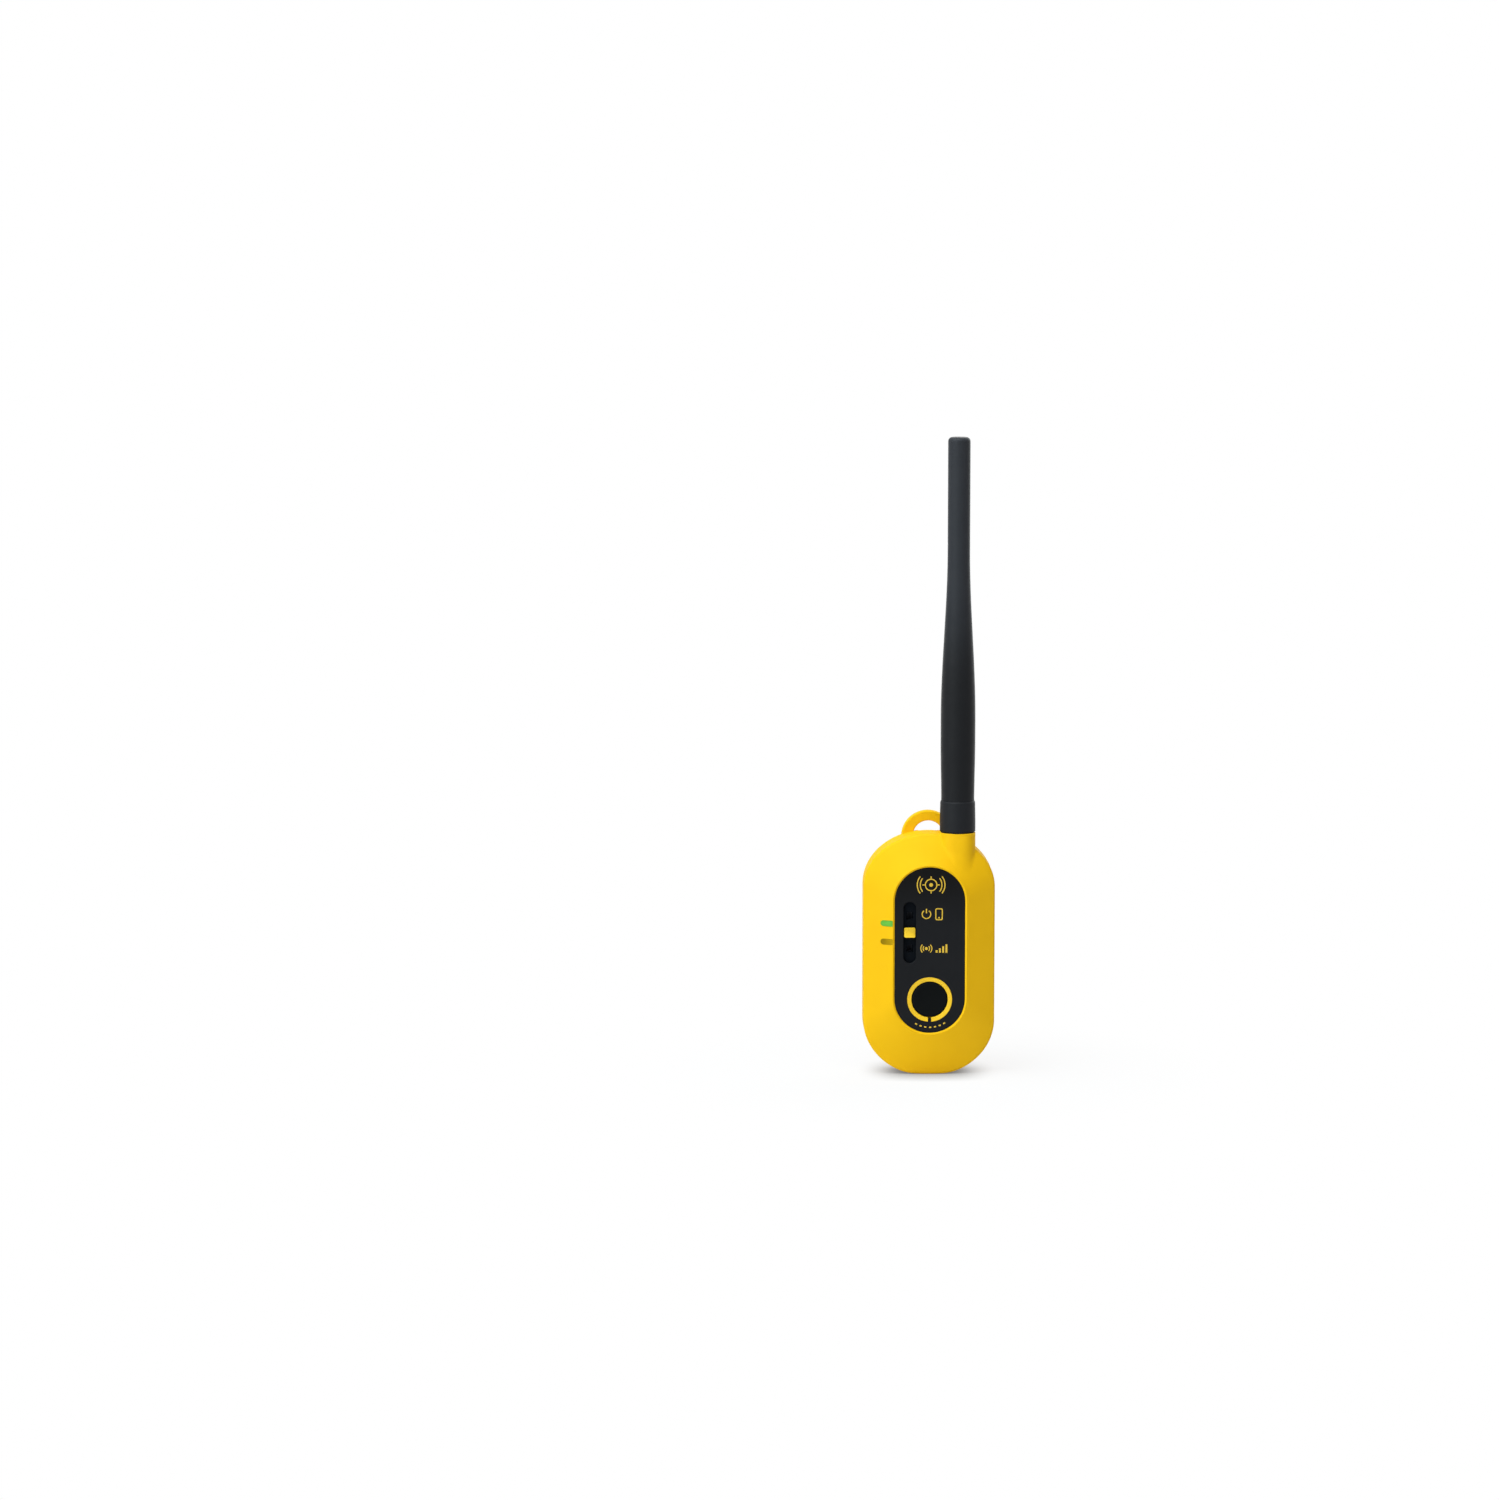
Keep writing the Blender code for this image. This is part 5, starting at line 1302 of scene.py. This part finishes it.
# A radio wave and signal bars
sign_z = SLOT_Z - 6.4 * MM
radio_x = SIGN_X + 1.9 * MM
mark_dot(radio_x, sign_z, 0.6 * MM)
for side in (-1, 1):
    for radius in (1.3 * MM, 2.2 * MM):
        mark_arc(radio_x, sign_z, radius, LINE * 0.9, 90 - side * 90 - RADIO_SPREAD / 2, RADIO_SPREAD)
for i, height in enumerate((1.0, 1.8, 2.6, 3.4)):
    mark_bar(SIGN_X + (6.0 + 1.3 * i) * MM, sign_z - (1.7 - height / 2) * MM, 0.75 * MM, height * MM)

# A row of dashes under the button
for i in range(DASH_COUNT):
    mark_arc(*BUTTON_PLACE, DASH_RADIUS, DASH_WIDTH, -121 + i * 10, 4.5)
mark_piece = make_object("panel_marks", marks)
dress(mark_piece, "case", "trim_yellow", finish="print_yellow")

# Stage
FLOOR_HALF = 6.0
FLOOR_PAINT = (0.72, 0.74, 0.77, 1.0)
FLOOR_SHARE = 0.85  # of white, seen from the camera close to the unit
WHITE_FROM = 0.04
WHITE_AT = 0.12
# The floor's painted contact shadow: its reach, samples, depth and the span over which it thins out to the
# sides
SHADOW_REACH = 16.0 * MM
SHADOW_SAMPLES = 16
SHADOW_DEPTH = 0.85
SHADOW_FULL = 11.0 * MM  # to either side of the middle
SHADOW_GONE = 29.0 * MM
AMBIENT_COLOUR = (1.0, 0.62, 0.50, 1.0)
AMBIENT_STRENGTH = 0.17
UNIT_MIDDLE = (0.0, 0.0, 0.10)
LAMP_COLOUR = (0.92, 1.0, 1.0)
LAMP_SIZE = 1.5

floor_mesh = bpy.data.meshes.new("floor")
floor_mesh.from_pydata(
    [(x * FLOOR_HALF, y * FLOOR_HALF, 0.0) for x, y in ((-1, -1), (1, -1), (1, 1), (-1, 1))],
    [],
    [(0, 1, 2, 3)],
)
floor = show("floor", floor_mesh)
floor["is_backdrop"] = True


def bare_tree(owner):
    """The emptied node tree of a material or of the world."""
    owner.use_nodes = True
    owner.node_tree.nodes.clear()
    return owner.node_tree


def calculate(tree, operation, *values):
    made = add(tree, "Math", dict(enumerate(values)), operation=operation)
    return made.outputs["Value"]


def seen_directly(tree):
    """One for the rays that look at the backdrop: from the camera, mirrored or through glass."""
    rays = add(tree, "LightPath").outputs
    first = calculate(tree, "MAXIMUM", rays["Is Camera Ray"], rays["Is Glossy Ray"])
    return calculate(tree, "MAXIMUM", first, rays["Is Transmission Ray"])


def floor_white():
    """Pale paint that the camera sees as white, with a painted contact shadow: its glow is darker where the
    unit closes it in and thins out to either side.
    """
    material = bpy.data.materials.new("floor_white")
    tree = bare_tree(material)
    paint = add(tree, "BsdfDiffuse", {"Color": FLOOR_PAINT})
    place = add(tree, "TexCoord").outputs["Object"]
    distance = add(tree, "VectorMath", {0: place}, operation="LENGTH")
    rise = mapped(tree, distance.outputs["Value"], WHITE_FROM, WHITE_AT, FLOOR_SHARE, 1.0)
    share = calculate(tree, "MULTIPLY", seen_directly(tree), rise)
    # Painted contact shadow: occlusion darkens the floor's glow, less so to either side of the middle
    reach = {"Distance": SHADOW_REACH}
    open_sky = add(tree, "AmbientOcclusion", reach, samples=SHADOW_SAMPLES)
    across = add(tree, "SeparateXYZ", {"Vector": place})
    beside = calculate(tree, "ABSOLUTE", across.outputs["X"])
    painted_shadow_taper = mapped(tree, beside, SHADOW_FULL, SHADOW_GONE, SHADOW_DEPTH, 0.0, "SMOOTHSTEP")
    closed_in = calculate(tree, "SUBTRACT", 1.0, open_sky.outputs["AO"])
    painted_shadow = calculate(tree, "MULTIPLY", closed_in, painted_shadow_taper)
    level = calculate(tree, "SUBTRACT", 1.0, painted_shadow)
    lift = add(tree, "Emission", {"Strength": level})
    inputs = {"Fac": share, 1: paint.outputs["BSDF"], 2: lift.outputs["Emission"]}
    both = add(tree, "MixShader", inputs)
    add(tree, "OutputMaterial", {"Surface": both.outputs["Shader"]})
    return material


floor_mesh.materials.append(floor_white())

world = bpy.data.worlds.new("studio")
scene.world = world
tree = bare_tree(world)
inputs = {"Color": AMBIENT_COLOUR, "Strength": AMBIENT_STRENGTH}
ambient = add(tree, "Background", inputs).outputs["Background"]
inputs = {"Color": WHITE, "Strength": 1.0}
backdrop = add(tree, "Background", inputs).outputs["Background"]
pick = add(tree, "MixShader", {"Fac": seen_directly(tree), 1: ambient, 2: backdrop})
add(tree, "OutputWorld", {"Surface": pick.outputs["Shader"]})


def aimed(place, target):
    """The turn that points a lamp or the camera from a place to a target."""
    return (Vector(target) - Vector(place)).to_track_quat("-Z", "Y").to_euler()


def lamp(name, place, power):
    """A round softbox that faces the unit."""
    light = bpy.data.lights.new(name, "AREA")
    light.shape = "DISK"
    light.size = LAMP_SIZE
    light.energy = power
    light.color = LAMP_COLOUR
    made = show(name, light)
    made.location = place
    made.rotation_euler = aimed(place, UNIT_MIDDLE)


lamp("front_softbox", (-1.09, -1.09, 0.51), 13.8)
lamp("top_softbox", (-0.39, -0.39, 1.60), 33.0)
lamp("rear_fill", (0.95, 1.20, 0.75), 9.0)

# Camera: the photograph's viewing angle, with the unit right of the middle of the frame
CAMERA_PLACE = (-0.1057, -2.1703, 0.4041)
CAMERA_AIM = (-0.0716, 0.0, 0.1301)
CAMERA_LENS = 131.8
CAMERA_SENSOR = 36.0
CAMERA_RANGE = 50.0
camera_data = bpy.data.cameras.new("camera")
camera_data.lens = CAMERA_LENS
camera_data.sensor_width = CAMERA_SENSOR
camera_data.clip_end = CAMERA_RANGE
camera = show("camera", camera_data)
camera.location = CAMERA_PLACE
camera.rotation_euler = aimed(CAMERA_PLACE, CAMERA_AIM)
scene.camera = camera
scene.view_settings.view_transform = "Standard"

low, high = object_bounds()
